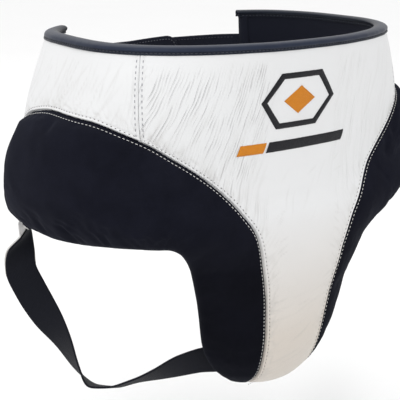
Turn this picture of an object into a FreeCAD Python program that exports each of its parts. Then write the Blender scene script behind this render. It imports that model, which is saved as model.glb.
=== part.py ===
import FreeCAD, Part
import math
import os

# Padded groin and abdomen protector, worn like a harness: a padded belt with hip pads and a
# curved tongue over a hard cup, closed behind by two hook-and-loop straps and held under the
# seat by two elastic leg straps.
#
# Frame: millimetres, origin at the middle of the waist loop just above the rim, +X to the
# wearer's left, -Y to the wearer's front, +Z up.
#
# The padded body follows one form. A place on it is given by an angle about the waist's
# middle line (0 at the front, 90 at the wearer's side, 180 behind), a drop below the rim and
# a depth under the outer skin.

Vector = FreeCAD.Vector

doc = FreeCAD.newDocument("GroinProtector")

# ---------------------------------------------------------------- driving dimensions

# Level sections of the form: name, drop, half width, reach in front, middle, reach behind,
# power of the front half. Each section is two half superellipses that meet at its widest
# place, "middle" along Y.
SECTIONS = [
    ("rim", 0, 156, 117, -5, 129, 2.2),
    ("waist", 40, 174, 113, -7, 132, 2.2),
    ("hip_top", 80, 190, 107, -2, 123, 2.2),
    ("hip", 120, 196, 105, 24, 110, 2.3),
    ("thigh", 160, 189, 111, 62, 98, 3.0),
    ("cup_top", 200, 148, 112, 22, 104, 2.15),
    ("cup", 240, 119, 107, 9, 76, 2.0),
    ("cup_low", 280, 95, 101, -3, 46, 2.0),
    ("cup_turn", 310, 66, 90, -9, 22, 2.2),
    ("cup_end", 332, 34, 70, -12, 7, 2.2),
]

SIZES = [
    ("back_power", 3.0, "superellipse power of the back half of a section"),
    ("leather", 1.8, "thickness of the leather and microfibre skins"),
    ("layer_gap", 0.3, "play between two layers"),
    ("core_play", 1.2, "play between the skins and the padding under them"),
    ("pad_play", 0.95, "play between a hip pad and the dark skin over it"),
    ("anchor_rise", 1.4, "how far the strap anchors stand out of the form"),
    ("anchor_end", 182.0, "drop of the strap anchors' lower end"),
    ("anchor_hang", 14.0, "how far that end stands off the form, as the padding curves in"),
    ("seam_gap", 0.6, "half the gap between two panels at a seam"),
    ("rim_padding", 5.0, "foam thickness under the binding"),
    ("belt_padding", 8.0, "foam thickness of the belt"),
    ("cup_padding", 17.0, "thickness between skin and lining over the cup"),
    ("cup_wall", 3.0, "wall of the hard cup"),
    ("cup_cushion", 7.0, "foam in front of the hard cup"),
    ("lining", 1.2, "thickness of the lining"),
    ("hip_rise", 12.0, "how far the hip pads stand out of the belt"),
    ("binding_top", 3.4, "drop of the binding's upper edge"),
    ("binding_depth", 10.5, "drop of the binding's lower edge"),
    ("binding_skin", 1.0, "thickness of the binding leather"),
    ("side_seam_angle", 66.0, "angle of the sewn joint between front and side covers"),
    ("wing_end_angle", 136.0, "angle at which the belt wings end behind"),
    ("wing_drop", 97.0, "drop of the lower edge of the wings"),
    ("strap_top", 28.0, "drop of the closure straps' upper edge"),
    ("strap_height", 66.0, "width of the closure straps"),
    ("strap_bow", 400.0, "plan radius of the closed straps"),
    ("strap_root_x", 109.0, "closure hinge line, distance from the middle"),
    ("strap_root_y", 112.0, "closure hinge line, distance behind the middle"),
    ("strap_skin", 2.5, "thickness of a closure strap"),
    ("tape_skin", 1.4, "thickness of the hook and of the loop tape"),
    ("right_strap_length", 149.0, "right closure strap beyond its hinge line"),
    ("left_strap_length", 172.0, "left closure strap beyond its hinge line"),
    ("tape_length", 92.0, "length of the hook and of the loop tape"),
    ("strap_end_round", 14.0, "corner radius at the free end of a closure strap"),
    ("webbing_width", 30.0, "width of the elastic leg straps"),
    ("webbing_skin", 2.0, "thickness of the elastic leg straps"),
    ("emblem_x", -14.0, "middle of the embroidered badge across the front"),
    ("emblem_drop", 53.0, "middle of the embroidered badge below the rim"),
    ("emblem_width", 82.0, "width of the badge"),
    ("emblem_height", 48.0, "height of the badge"),
    ("emblem_stroke", 5.0, "width of the badge's outline"),
    ("emblem_rise", 0.7, "height of the embroidery over the skin"),
    ("bar_width", 118.0, "length of the bar under the badge"),
    ("bar_height", 9.0, "height of the bar under the badge"),
    ("bar_drop", 92.0, "middle of the bar below the rim"),
    ("bar_tip", 26.0, "length of the accent at the bar's first end"),
]

sheet = doc.addObject("Spreadsheet::Sheet", "Sizes")


def fill_sheet():
    """Write each size to a row of the sheet: name, value under its alias, and meaning."""
    rows = list(SIZES)
    for name, drop, half, front, middle, back, power in SECTIONS:
        rows.append((name + "_drop", drop, "drop of this section below the rim"))
        rows.append((name + "_half", half, "half width of this section"))
        rows.append((name + "_front", front, "reach of this section in front of the middle line"))
        rows.append((name + "_middle", middle, "place of this section's widest line along Y"))
        rows.append((name + "_back", back, "reach of this section behind the middle line"))
        rows.append((name + "_power", power, "superellipse power of this section's front half"))
    for index, (alias, value, meaning) in enumerate(rows, start=1):
        sheet.set("A%d" % index, alias)
        sheet.set("B%d" % index, str(value))
        sheet.setAlias("B%d" % index, alias)
        sheet.set("C%d" % index, meaning)
    doc.recompute()


def size(alias):
    """Value of a driving dimension."""
    return float(sheet.get(alias))


fill_sheet()

LEATHER = size("leather")
GAP = size("layer_gap")
LINING = size("lining")
BACK_POWER = size("back_power")


# ---------------------------------------------------------------- the form

def ease(low, high, value):
    """Smooth step from 0 at low to 1 at high."""
    share = min(1.0, max(0.0, (value - low) / (high - low)))
    return share * share * (3.0 - 2.0 * share)


def smooth_slopes(places, values):
    """Slopes of the monotone cubic through the given values."""
    steps = [(values[i + 1] - values[i]) / (places[i + 1] - places[i])
             for i in range(len(places) - 1)]
    slopes = [steps[0]]
    for before, after in zip(steps, steps[1:]):
        if before * after <= 0:
            slopes.append(0.0)
        else:
            slopes.append(2.0 * before * after / (before + after))
    slopes.append(steps[-1])
    return slopes


def smooth_value(places, values, place):
    """Value at a place on the monotone cubic through the given values."""
    place = min(max(place, places[0]), places[-1])
    slopes = smooth_slopes(places, values)
    span = 0
    while span < len(places) - 2 and place > places[span + 1]:
        span += 1
    width = places[span + 1] - places[span]
    share = (place - places[span]) / width
    rest = 1.0 - share
    return (values[span] * (1 + 2 * share) * rest ** 2
            + values[span + 1] * (3 - 2 * share) * share ** 2
            + slopes[span] * width * share * rest ** 2
            - slopes[span + 1] * width * rest * share ** 2)


SECTION_DROPS = [size(row[0] + "_drop") for row in SECTIONS]


def section_size(measure, drop):
    """One measure of the level section at a drop: half, front, middle, back or power."""
    values = [size(row[0] + "_" + measure) for row in SECTIONS]
    return smooth_value(SECTION_DROPS, values, drop)


SECTION_CACHE = {}


def section(drop):
    """All five measures of the level section at a drop."""
    key = round(drop, 3)
    if key not in SECTION_CACHE:
        SECTION_CACHE[key] = [section_size(measure, drop)
                              for measure in ("half", "front", "middle", "back", "power")]
    return SECTION_CACHE[key]


def radius(angle, drop):
    """Distance from the middle line to the form, found by halving an interval."""
    half, front, middle, back, front_power = section(drop)
    sine = abs(math.sin(math.radians(angle)))
    cosine = math.cos(math.radians(angle))
    low, high = 0.0, 400.0
    for _ in range(36):
        reach = 0.5 * (low + high)
        across = reach * sine / half
        along = -reach * cosine - middle
        if along < 0:
            power, depth = front_power, middle + front
        else:
            power, depth = BACK_POWER, back - middle
        if across ** power + (abs(along) / depth) ** power < 1.0:
            low = reach
        else:
            high = reach
    return 0.5 * (low + high)


def skin_point(angle, drop):
    """Point on the outer form."""
    reach = radius(angle, drop)
    turn = math.radians(angle)
    return Vector(reach * math.sin(turn), -reach * math.cos(turn), -drop)


def place(angle, drop, depth):
    """Point at a level depth under the outer form, square to the section's outline."""
    here = skin_point(angle, drop)
    along = skin_point(angle + 0.5, drop) - skin_point(angle - 0.5, drop)
    inward = Vector(-along.y, along.x, 0)
    inward.normalize()
    return here + inward * depth


def padding(drop):
    """Thickness between the skins and the lining at a drop."""
    belt = size("rim_padding") + (size("belt_padding") - size("rim_padding")) * ease(8, 40, drop)
    return belt + (size("cup_padding") - size("belt_padding")) * ease(110, 185, drop)


# ---------------------------------------------------------------- solids between two skins

def edge_point(keys, share):
    """Place (angle, drop) along an edge given by a few points, at a share of its length."""
    counts = list(range(len(keys)))
    spot = share * (len(keys) - 1)
    return (smooth_value(counts, [key[0] for key in keys], spot),
            smooth_value(counts, [key[1] for key in keys], spot))


def surface_through(points):
    """B-spline surface through a grid of points."""
    surface = Part.BSplineSurface()
    surface.interpolate(points)
    return surface


def border_wires(surface):
    """The four borders of a surface, always in the same order."""
    low_u, high_u, low_v, high_v = surface.bounds()
    curves = (surface.uIso(low_u), surface.uIso(high_u), surface.vIso(low_v), surface.vIso(high_v))
    return [Part.Wire([curve.toShape()]) for curve in curves]


def solid_between(outer_points, inner_points):
    """Closed solid between two matching grids of points."""
    outer = surface_through(outer_points)
    inner = surface_through(inner_points)
    faces = [outer.toShape(), inner.toShape()]
    for pair in zip(border_wires(outer), border_wires(inner)):
        faces.append(Part.makeLoft(list(pair), False, True))
    sewn = Part.makeCompound(faces)
    sewn.sewShape(0.01)
    solid = Part.Solid(sewn.Shells[0])
    if solid.Volume < 0:
        solid.reverse()
    return solid


def panel_solid(upper, lower, outer_depth, inner_depth, side=1, rows=9, columns=33):
    """Layer of the body bounded by two edges of matching keys.

    The depths are functions of (share across, share along, drop); side is -1 for the
    wearer's right.
    """
    grids = []
    for depth in (outer_depth, inner_depth):
        grid = []
        for row in range(rows):
            across = row / (rows - 1)
            line = []
            for column in range(columns):
                along = column / (columns - 1)
                angle_a, drop_a = edge_point(upper, along)
                angle_b, drop_b = edge_point(lower, along)
                angle = angle_a + (angle_b - angle_a) * across
                drop = drop_a + (drop_b - drop_a) * across
                line.append(place(side * angle, drop, depth(across, along, drop)))
            grid.append(line)
        grids.append(grid)
    return solid_between(grids[0], grids[1])


def level(depth):
    """Depth function of a layer at one depth all over."""
    return lambda across, along, drop: depth


def add_solid(name, solid):
    """Feature that holds a finished solid."""
    feature = doc.addObject("Part::Feature", name)
    feature.Label = name
    feature.Shape = solid
    return feature


NODES = []


def keep(feature):
    """List a sub-part for export."""
    NODES.append(feature)
    return feature


# ---------------------------------------------------------------- outlines on the form

SIDE = size("side_seam_angle")
WING = size("wing_end_angle")
WING_DROP = size("wing_drop")
RIM = size("binding_top")
RIM_EDGE = size("binding_depth")
CORE_TOP = RIM + 2.2

# The sewn line between the light and the dark skins, from behind the hip pad over its top,
# down across the belly and along the tongue to its lower end: (angle, drop).
DARK_SEAM = [(113, 90), (110, 77), (103, 66), (93, 61), (79, 63.5), (SIDE, 77.2),
             (56, 97), (45.4, 119.5), (34.6, 145), (27.5, 169), (24.3, 199), (21.2, 238),
             (20, 277), (20.5, 303), (24, 328)]

# The free edge of the dark skin: under the hip pad, round the leg corner, down the tongue.
LEG_EDGE = [(114, 177), (106, 180), (96, 181), (84, 177), (74, 173.5), (65, 172.5),
            (58.5, 172.5), (55, 179), (54.2, 192), (54, 208), (54, 228), (54.2, 250),
            (54.6, 277), (51.5, 303), (36, 330)]

SEAM_AT_SIDE = 5
SEAM_BELLY = DARK_SEAM[SEAM_AT_SIDE:]
PAD_KEYS = 9


def shifted(keys, angle, drop):
    """Keys moved by an angle and a drop."""
    return [(key[0] + angle, key[1] + drop) for key in keys]


def mirrored(keys):
    """Keys on the other side of the middle line."""
    return [(-key[0], key[1]) for key in keys]


def level_edge(first, last, drop, count):
    """Edge at one drop from one angle to another."""
    return [(first + (last - first) * i / (count - 1), drop) for i in range(count)]


# ---------------------------------------------------------------- light leather covers

SEAM_GAP = size("seam_gap")
SEAM_ANGLE = math.degrees(SEAM_GAP / radius(SIDE, 50))


def make_front_cover():
    """Light leather from side seam to side seam, narrowing into the tongue."""
    corner = (SIDE - SEAM_ANGLE, DARK_SEAM[SEAM_AT_SIDE][1] - SEAM_GAP)
    belt_edge = [(SIDE - SEAM_ANGLE, RIM_EDGE + GAP), (SIDE - SEAM_ANGLE, 45), corner]
    tongue_edge = [corner]
    tongue_edge += [(angle - 0.35, drop - SEAM_GAP) for angle, drop in SEAM_BELLY[1:]]
    solids = [panel_solid(mirrored(edge), edge, level(0), level(LEATHER), rows=25, columns=count)
              for edge, count in ((belt_edge, 9), (tongue_edge, 33))]
    add_solid("front_cover_belt", solids[0])
    add_solid("front_cover_tongue", solids[1])
    cover = doc.addObject("Part::Fuse", "front_cover")
    cover.Base = doc.getObject("front_cover_belt")
    cover.Tool = doc.getObject("front_cover_tongue")
    return keep(cover)


def make_belt_cover(name, side):
    """Light leather from a side seam round to the wing's end, above the hip pad."""
    last = len(DARK_SEAM) - 1
    seam = [edge_point(DARK_SEAM, 0.5 * i / last) for i in range(2 * SEAM_AT_SIDE + 1)]
    lower = [(WING, WING_DROP), (120, WING_DROP)] + shifted(seam, 0.3, -SEAM_GAP)
    lower[-1] = (SIDE + SEAM_ANGLE, lower[-1][1])
    upper = level_edge(WING, SIDE + SEAM_ANGLE, RIM_EDGE + GAP, len(lower))
    return keep(add_solid(name, panel_solid(upper, lower, level(0), level(LEATHER), side,
                                            columns=49)))


def make_strap_anchor(name, side):
    """Leather tab behind the hip pad that hangs straight down to a leg strap's upper end."""
    end = size("anchor_end")
    inner = [(114.6, WING_DROP + 1), (114.8, 138), (115, end)]
    outer = [(128, WING_DROP + 1), (125, 138), (121.5, end)]

    def hanging(depth):
        return lambda across, along, drop: depth - size("anchor_hang") * ease(150, end, drop)

    return keep(add_solid(name, panel_solid(inner, outer, hanging(-size("anchor_rise")),
                                            hanging(LEATHER), side, rows=5, columns=17)))


# ---------------------------------------------------------------- dark hip and tongue skins

def hip_swell(across, along):
    """How far the dark skin stands out of the form: full on the hip pad, little on the tongue."""
    pillow = 1.0 - abs(2.0 * min(1.0, max(0.0, across)) - 1.0) ** 3.5
    rear = ease(-0.03, 0.14, along)
    belly = 1.0 - 0.85 * ease(0.36, 0.6, along)
    return size("hip_rise") * pillow * rear * belly


def make_hip_cover(name, side):
    """Dark microfibre over the hip pad and down the side of the tongue."""
    solid = panel_solid(DARK_SEAM, LEG_EDGE,
                        lambda across, along, drop: -hip_swell(across, along),
                        lambda across, along, drop: LEATHER - hip_swell(across, along),
                        side, rows=17, columns=65)
    return keep(add_solid(name, solid))


def make_hip_foam(name, side):
    """Thick pad under the dark skin over the hip."""
    last = len(DARK_SEAM) - 1
    pad_play = size("pad_play")

    def swell(across, along):
        return hip_swell(0.04 + 0.92 * across, (0.3 + along * (PAD_KEYS - 1)) / last)

    upper = [edge_point(DARK_SEAM, (0.3 + i) / last) for i in range(PAD_KEYS)]
    lower = [edge_point(LEG_EDGE, (0.3 + i) / last) for i in range(PAD_KEYS)]
    upper, lower = ([(a[0] + (b[0] - a[0]) * 0.04, a[1] + (b[1] - a[1]) * 0.04)
                     for a, b in zip(first, second)]
                    for first, second in ((upper, lower), (lower, upper)))
    solid = panel_solid(upper, lower,
                        lambda across, along, drop: LEATHER + pad_play - swell(across, along),
                        level(CORE - pad_play), side, rows=17, columns=57)
    return keep(add_solid(name, solid))


# ---------------------------------------------------------------- padding, cup and lining

CORE = LEATHER + size("core_play")


def core_depth(share):
    """Depth function at a share of the padding's thickness."""
    return lambda across, along, drop: CORE + share * padding(drop)


BELT_FOAM_EDGE = [(0, 139), (15, 139), (29, 139), (43, 156), (56, 170.5), (66, 170.5),
                  (76, 172), (88, 175.5), (99, 173.5), (108, 162), (114.5, 134), (119, 104),
                  (128, 96), (135, 96)]


def both_sides(keys):
    """Edge from the wearer's right to the left, from keys of one half."""
    return mirrored(keys[::-1]) + keys[1:]


def make_belt_foam():
    """Foam of the belt, from wing end to wing end."""
    upper = level_edge(-135, 135, CORE_TOP, 2 * len(BELT_FOAM_EDGE) - 1)
    lower = both_sides(BELT_FOAM_EDGE)
    solid = panel_solid(upper, lower, core_depth(0), core_depth(1), rows=27, columns=157)
    return keep(add_solid("belt_foam", solid))


def make_belt_lining():
    """Smooth cloth on the belt's inner side."""
    upper = level_edge(-135, 135, CORE_TOP, 2 * len(BELT_FOAM_EDGE) - 1)
    lower = both_sides(BELT_FOAM_EDGE)
    solid = panel_solid(upper, lower,
                        lambda across, along, drop: CORE + padding(drop) + GAP,
                        lambda across, along, drop: CORE + padding(drop) + GAP + LINING,
                        rows=27, columns=157)
    return keep(add_solid("belt_lining", solid))


TONGUE_EDGE = [(29, 141), (42, 158), (52.5, 178), (52.8, 204), (52.8, 240), (53, 280),
               (49, 303), (33, 329)]


def tongue_layer(name, outer_depth, inner_depth, edge=TONGUE_EDGE):
    """Layer of the tongue between two depths."""
    solid = panel_solid(mirrored(edge), edge, outer_depth, inner_depth, rows=21, columns=25)
    return keep(add_solid(name, solid))


CUP_EDGE = [(15, 152), (27, 166), (35, 190), (38, 225), (38, 262), (35, 292), (25, 315)]


def make_tongue_layers():
    """Foam, hard cup, foam and lining of the tongue, from front to back."""
    cup_front = CORE + size("cup_cushion")
    cup_back = cup_front + size("cup_wall")
    tongue_layer("groin_outer_foam", level(CORE), level(cup_front - GAP))
    tongue_layer("hard_cup", level(cup_front), level(cup_back), CUP_EDGE)
    tongue_layer("groin_inner_foam", level(cup_back + GAP), core_depth(1))
    tongue_layer("groin_lining",
                 lambda across, along, drop: CORE + padding(drop) + GAP,
                 lambda across, along, drop: CORE + padding(drop) + GAP + LINING)


def make_binding():
    """Dark leather folded over the rim from wing end to wing end, open below."""
    skin = size("binding_skin")
    fold = 0.2
    inner = CORE + size("rim_padding") + LINING + 2 * GAP + 0.8
    keys = 19
    block = panel_solid(level_edge(-WING, WING, RIM, keys),
                        level_edge(-WING, WING, RIM_EDGE, keys),
                        level(-fold - skin), level(inner + skin), rows=5, columns=61)
    slot = panel_solid(level_edge(-WING - 1, WING + 1, RIM + 1.8, keys),
                       level_edge(-WING - 1, WING + 1, RIM_EDGE + 2, keys),
                       level(-fold), level(inner), rows=5, columns=61)
    add_solid("binding_block", block)
    add_solid("binding_slot", slot)
    binding = doc.addObject("Part::Cut", "top_binding")
    binding.Base = doc.getObject("binding_block")
    binding.Tool = doc.getObject("binding_slot")
    return keep(binding)


# ---------------------------------------------------------------- embroidery on the front

def origin_plane(body, role):
    """One of a body's own origin planes."""
    return next(item for item in body.Origin.OriginFeatures if item.Role == role)


def closed_sketch(body, name, role, points):
    """Sketch of a closed polygon on one of the body's origin planes."""
    sketch = body.newObject("Sketcher::SketchObject", name)
    sketch.AttachmentSupport = [(origin_plane(body, role), "")]
    sketch.MapMode = "FlatFace"
    for start, end in zip(points, points[1:] + points[:1]):
        sketch.addGeometry(Part.LineSegment(Vector(*start, 0), Vector(*end, 0)), False)
    return sketch


def hexagon(half_width, half_height):
    """Flat-topped hexagon about the badge's middle, in X and Z."""
    middle_x, middle_z = size("emblem_x"), -size("emblem_drop")
    return [(middle_x + half_width * x, middle_z + half_height * z)
            for x, z in ((-1, 0), (-0.55, 1), (0.55, 1), (1, 0), (0.55, -1), (-0.55, -1))]


def lozenge(half_width, half_height):
    """Diamond about the badge's middle, in X and Z."""
    middle_x, middle_z = size("emblem_x"), -size("emblem_drop")
    return [(middle_x - half_width, middle_z), (middle_x, middle_z + half_height),
            (middle_x + half_width, middle_z), (middle_x, middle_z - half_height)]


def slanted_bar(start, end):
    """Stretch of the bar under the badge between two distances from its first end."""
    left = size("emblem_x") - size("bar_width") / 2
    half = size("bar_height") / 2
    drop = size("bar_drop")
    lean = 0.35 * half
    return [(left + start - lean, -drop - half), (left + start + lean, -drop + half),
            (left + end + lean, -drop + half), (left + end - lean, -drop - half)]


def make_embroidery(name, outline, inner_outline=None):
    """Embroidered patch: a padded outline cut to a thin layer over the front skin."""
    body = doc.addObject("PartDesign::Body", name + "_stencil")
    closed_sketch(body, name + "_outline", "XZ_Plane", outline)
    if inner_outline:
        sketch = doc.getObject(name + "_outline")
        for start, end in zip(inner_outline, inner_outline[1:] + inner_outline[:1]):
            sketch.addGeometry(Part.LineSegment(Vector(*start, 0), Vector(*end, 0)), False)
    pad = body.newObject("PartDesign::Pad", name + "_pad")
    pad.Profile = doc.getObject(name + "_outline")
    pad.setExpression("Length", "Sizes.rim_front + 30")
    patch = doc.addObject("Part::Common", name)
    patch.Base = body
    patch.Tool = doc.getObject("embroidery_layer")
    return keep(patch)


def make_emblem():
    """Plain badge: a hexagonal outline, a lozenge, and a bar whose first end is an accent."""
    edge = [(40, 22), (40, 50), (40, 80), (40, 108)]
    layer = panel_solid(mirrored(edge), edge, level(-size("emblem_rise")), level(-0.05),
                        rows=21, columns=13)
    add_solid("embroidery_layer", layer)
    half_width, half_height = size("emblem_width") / 2, size("emblem_height") / 2
    stroke = size("emblem_stroke")
    make_embroidery("emblem_ring", hexagon(half_width, half_height),
                    hexagon(half_width - 1.25 * stroke, half_height - stroke))
    make_embroidery("emblem_lozenge", lozenge(half_width * 0.42, half_height * 0.5))
    make_embroidery("emblem_bar", slanted_bar(size("bar_tip") + 3, size("bar_width")))
    make_embroidery("emblem_bar_tip", slanted_bar(0, size("bar_tip")))


# ---------------------------------------------------------------- closure straps behind

def strap_plan(side, start, length, inner_offset, thickness):
    """Plan outline of a closure strap's layer: two concentric arcs and two short ends.

    The arc bows backwards between the two hinge lines. Offsets count outwards from it.
    """
    bow = size("strap_bow")
    root_x, root_y = size("strap_root_x"), size("strap_root_y")
    centre_y = root_y - math.sqrt(bow ** 2 - root_x ** 2)
    edges = []
    corners = []
    for offset in (inner_offset, inner_offset + thickness):
        reach = bow + offset
        turns = [math.asin((root_x - distance) / bow) for distance in (start, start + length)]
        points = [Vector(side * reach * math.sin(turn), centre_y + reach * math.cos(turn), 0)
                  for turn in (turns[0], sum(turns) / 2, turns[1])]
        edges.append(Part.Arc(*points))
        corners.append(points)
    edges.append(Part.LineSegment(corners[0][0], corners[1][0]))
    edges.append(Part.LineSegment(corners[0][2], corners[1][2]))
    return edges


def make_strap(name, side, start, length, inner_offset, skin_alias, inset, rounded):
    """Closure strap or tape: the plan outline padded to the strap's height."""
    body = doc.addObject("PartDesign::Body", name)
    body.Label = name
    sketch = body.newObject("Sketcher::SketchObject", name + "_plan")
    sketch.AttachmentSupport = [(origin_plane(body, "XY_Plane"), "")]
    sketch.MapMode = "FlatFace"
    for edge in strap_plan(side, start, length, inner_offset, size(skin_alias)):
        sketch.addGeometry(edge, False)
    sketch.setExpression("AttachmentOffset.Base.z",
                         "-Sizes.strap_top - Sizes.strap_height + %g" % inset)
    pad = body.newObject("PartDesign::Pad", name + "_pad")
    pad.Profile = sketch
    pad.setExpression("Length", "Sizes.strap_height - %g" % (2 * inset))
    doc.recompute()
    if rounded:
        round_free_end(body, pad, side)
    return keep(body)


def round_free_end(body, pad, side):
    """Round a strap's two corners at its free end, the end furthest from its hinge line."""
    def reach(edge):
        return abs(side * size("strap_root_x") - edge.CenterOfMass.x)

    short = [(index, edge) for index, edge in enumerate(pad.Shape.Edges, start=1)
             if edge.Length < 2 * size("strap_skin")]
    furthest = max(reach(edge) for index, edge in short)
    corners = ["Edge%d" % index for index, edge in short if reach(edge) > furthest - 3.0]
    fillet = body.newObject("PartDesign::Fillet", body.Name + "_corners")
    fillet.Base = (pad, corners)
    fillet.setExpression("Radius", "Sizes.strap_end_round")


def make_closure():
    """Right strap with its loop tape inside, left strap with its hook tape outside."""
    skin, tape = size("strap_skin"), size("tape_skin")
    right, left = size("right_strap_length"), size("left_strap_length")
    length = size("tape_length")
    make_strap("right_closure_strap", -1, 3, right - 3, 0, "strap_skin", 0, True)
    make_strap("right_loop_pad", -1, right - length - 3, length, skin + 0.05, "tape_skin", 4, False)
    outside = skin + tape + 3 * GAP
    make_strap("left_hook_pad", 1, left - length - 3, length, outside, "tape_skin", 4, False)
    make_strap("left_closure_strap", 1, 3, left - 3, outside + tape + 0.05, "strap_skin", 0, True)


# ---------------------------------------------------------------- elastic leg straps

# Middle line of the wearer's left leg strap, with the direction of its width at each point.
# It leaves the tab behind the hip, turns to face forwards, runs down to its lowest bend and
# comes forward to the tongue's lower end, where its width stands upright.
LEG_ROUTE = [
    ((168, 89, -187), (-0.7, 0.7, 0.1)),
    ((171, 96, -204), (-0.95, 0.0, 0.3)),
    ((171, 97, -223), (-0.8, -0.5, 0.4)),
    ((166, 89, -244), (-0.8, -0.4, 0.4)),
    ((158, 76, -268), (-0.55, -0.6, 0.55)),
    ((149, 60, -293), (0.0, -0.85, 0.55)),
    ((144, 45, -316), (0.4, -0.75, 0.5)),
    ((138, 29, -330), (0.7, -0.6, 0.35)),
    ((126, 16, -330), (0.7, -0.6, 0.4)),
    ((110, 3, -324), (0.65, -0.6, 0.45)),
    ((92, -11, -317), (0.65, -0.4, 0.6)),
    ((75, -27, -307), (0.5, -0.2, 0.85)),
    ((58, -37, -303), (0.25, -0.2, 0.95)),
    ((44, -43, -303), (0.1, -0.15, 1.0)),
]


def route_point(share):
    """Middle point and unit width direction at a share of the leg strap's route."""
    counts = list(range(len(LEG_ROUTE)))
    spot = share * (len(LEG_ROUTE) - 1)
    values = [smooth_value(counts, [key[part][axis] for key in LEG_ROUTE], spot)
              for part in (0, 1) for axis in range(3)]
    width = Vector(*values[3:])
    width.normalize()
    return Vector(*values[:3]), width


def make_leg_strap(name, side):
    """Flat elastic webbing along the route."""
    outer, inner = [], []
    columns = 41
    for row in range(5):
        lines = ([], [])
        for column in range(columns):
            share = column / (columns - 1)
            middle, width = route_point(share)
            ahead = route_point(min(1.0, share + 0.01))[0] - route_point(max(0.0, share - 0.01))[0]
            normal = width.cross(ahead)
            normal.normalize()
            here = middle + width * (size("webbing_width") * (row / 4 - 0.5))
            for line, sign in zip(lines, (0.5, -0.5)):
                point = here + normal * (sign * size("webbing_skin"))
                line.append(Vector(side * point.x, point.y, point.z))
        outer.append(lines[0])
        inner.append(lines[1])
    return keep(add_solid(name, solid_between(outer, inner)))


def make_crotch_anchor():
    """Webbing band across the lining, where both leg straps are sewn to the tongue."""
    edge = [(40, 287), (41, 296), (41, 305), (38, 312)]
    near = CORE + 2 * GAP + LINING
    far = near + size("webbing_skin")
    solid = panel_solid(mirrored(edge), edge,
                        lambda across, along, drop: near + padding(drop),
                        lambda across, along, drop: far + padding(drop), rows=9, columns=9)
    return keep(add_solid("crotch_anchor", solid))


# ---------------------------------------------------------------- build, check and write

def build():
    """Make every sub-part."""
    make_front_cover()
    make_belt_cover("left_belt_cover", 1)
    make_belt_cover("right_belt_cover", -1)
    for name, side in (("left", 1), ("right", -1)):
        make_hip_cover(name + "_hip_cover", side)
        make_hip_foam(name + "_hip_foam", side)
        make_strap_anchor(name + "_strap_anchor", side)
        make_leg_strap(name + "_leg_strap", side)
    make_belt_foam()
    make_belt_lining()
    make_tongue_layers()
    make_binding()
    make_emblem()
    make_closure()
    make_crotch_anchor()
    doc.recompute()


def check():
    """Stop if a feature failed or a sub-part isn't one sound solid."""
    for item in doc.Objects:
        if "Invalid" in item.State or "Error" in item.State:
            raise RuntimeError("failed feature: " + item.Name)
    for feature in NODES:
        shape = feature.Shape
        if shape.isNull() or not shape.isValid() or shape.Volume <= 0:
            raise RuntimeError("unsound shape: " + feature.Label)
        print("%-22s solids %d  volume %9.0f mm3" % (feature.Label, len(shape.Solids),
                                                    shape.Volume))


def write():
    """Write each sub-part to its own file."""
    os.makedirs("parts", exist_ok=True)
    for feature in NODES:
        feature.Shape.exportStep("parts/" + feature.Label + ".step")


build()
check()
write()
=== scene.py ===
import math

import bmesh
import bpy
import numpy as np
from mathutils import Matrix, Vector


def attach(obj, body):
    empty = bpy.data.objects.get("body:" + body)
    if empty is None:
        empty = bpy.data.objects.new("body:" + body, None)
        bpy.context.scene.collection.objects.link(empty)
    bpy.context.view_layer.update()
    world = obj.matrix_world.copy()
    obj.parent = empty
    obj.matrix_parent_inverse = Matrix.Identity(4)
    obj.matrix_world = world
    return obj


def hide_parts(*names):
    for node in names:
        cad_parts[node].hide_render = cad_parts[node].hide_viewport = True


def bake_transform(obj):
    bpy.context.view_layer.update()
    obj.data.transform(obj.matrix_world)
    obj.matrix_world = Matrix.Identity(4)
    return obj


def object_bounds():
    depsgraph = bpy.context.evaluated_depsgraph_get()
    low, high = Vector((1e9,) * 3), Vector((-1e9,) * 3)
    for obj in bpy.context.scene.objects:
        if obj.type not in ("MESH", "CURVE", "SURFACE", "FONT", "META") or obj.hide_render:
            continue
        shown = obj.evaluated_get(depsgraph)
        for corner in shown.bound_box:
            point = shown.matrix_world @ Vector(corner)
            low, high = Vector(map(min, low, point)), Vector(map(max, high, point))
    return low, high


# Looks of a padded groin protector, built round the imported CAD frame. The skins, padding,
# lining, straps and stitches are made here; sizes are in millimetres until a mesh is made.

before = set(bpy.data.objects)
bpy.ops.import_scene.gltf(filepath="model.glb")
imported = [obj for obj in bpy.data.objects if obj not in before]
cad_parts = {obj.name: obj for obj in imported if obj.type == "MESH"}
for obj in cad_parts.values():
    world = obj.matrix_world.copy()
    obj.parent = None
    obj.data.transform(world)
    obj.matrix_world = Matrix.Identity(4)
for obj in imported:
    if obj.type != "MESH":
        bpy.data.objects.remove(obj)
CAD_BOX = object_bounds()
MM = 0.001

# ---------------------------------------------------------------- the form, as in the CAD

# Level sections: drop, half width, reach in front, middle, reach behind, front power.
SECTIONS = np.array([
    (0, 156, 117, -5, 129, 2.2), (40, 174, 113, -7, 132, 2.2), (80, 190, 107, -2, 123, 2.2),
    (120, 196, 105, 24, 110, 2.3), (160, 189, 111, 62, 98, 3.0),
    (200, 148, 112, 22, 104, 2.15), (240, 119, 107, 9, 76, 2.0), (280, 95, 101, -3, 46, 2.0),
    (310, 66, 90, -9, 22, 2.2), (332, 34, 70, -12, 7, 2.2)], float)
BACK_POWER = 3.0
LEATHER, GAP, LINING = 1.8, 0.3, 1.2
CORE = LEATHER + 1.2
RIM_PAD, BELT_PAD, CUP_PAD = 5.0, 8.0, 17.0
SIDE_SEAM = 66.0
SEAM_LEAN = 0.028
SEAM_TURN = 42.0
SEAM_FOOT = 77.2
WING_END = 136.0
WING_SHORT = {1: 0.0, -1: 2.6}
WING_DROP = 97.0
HIP_RISE = 12.0

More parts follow.
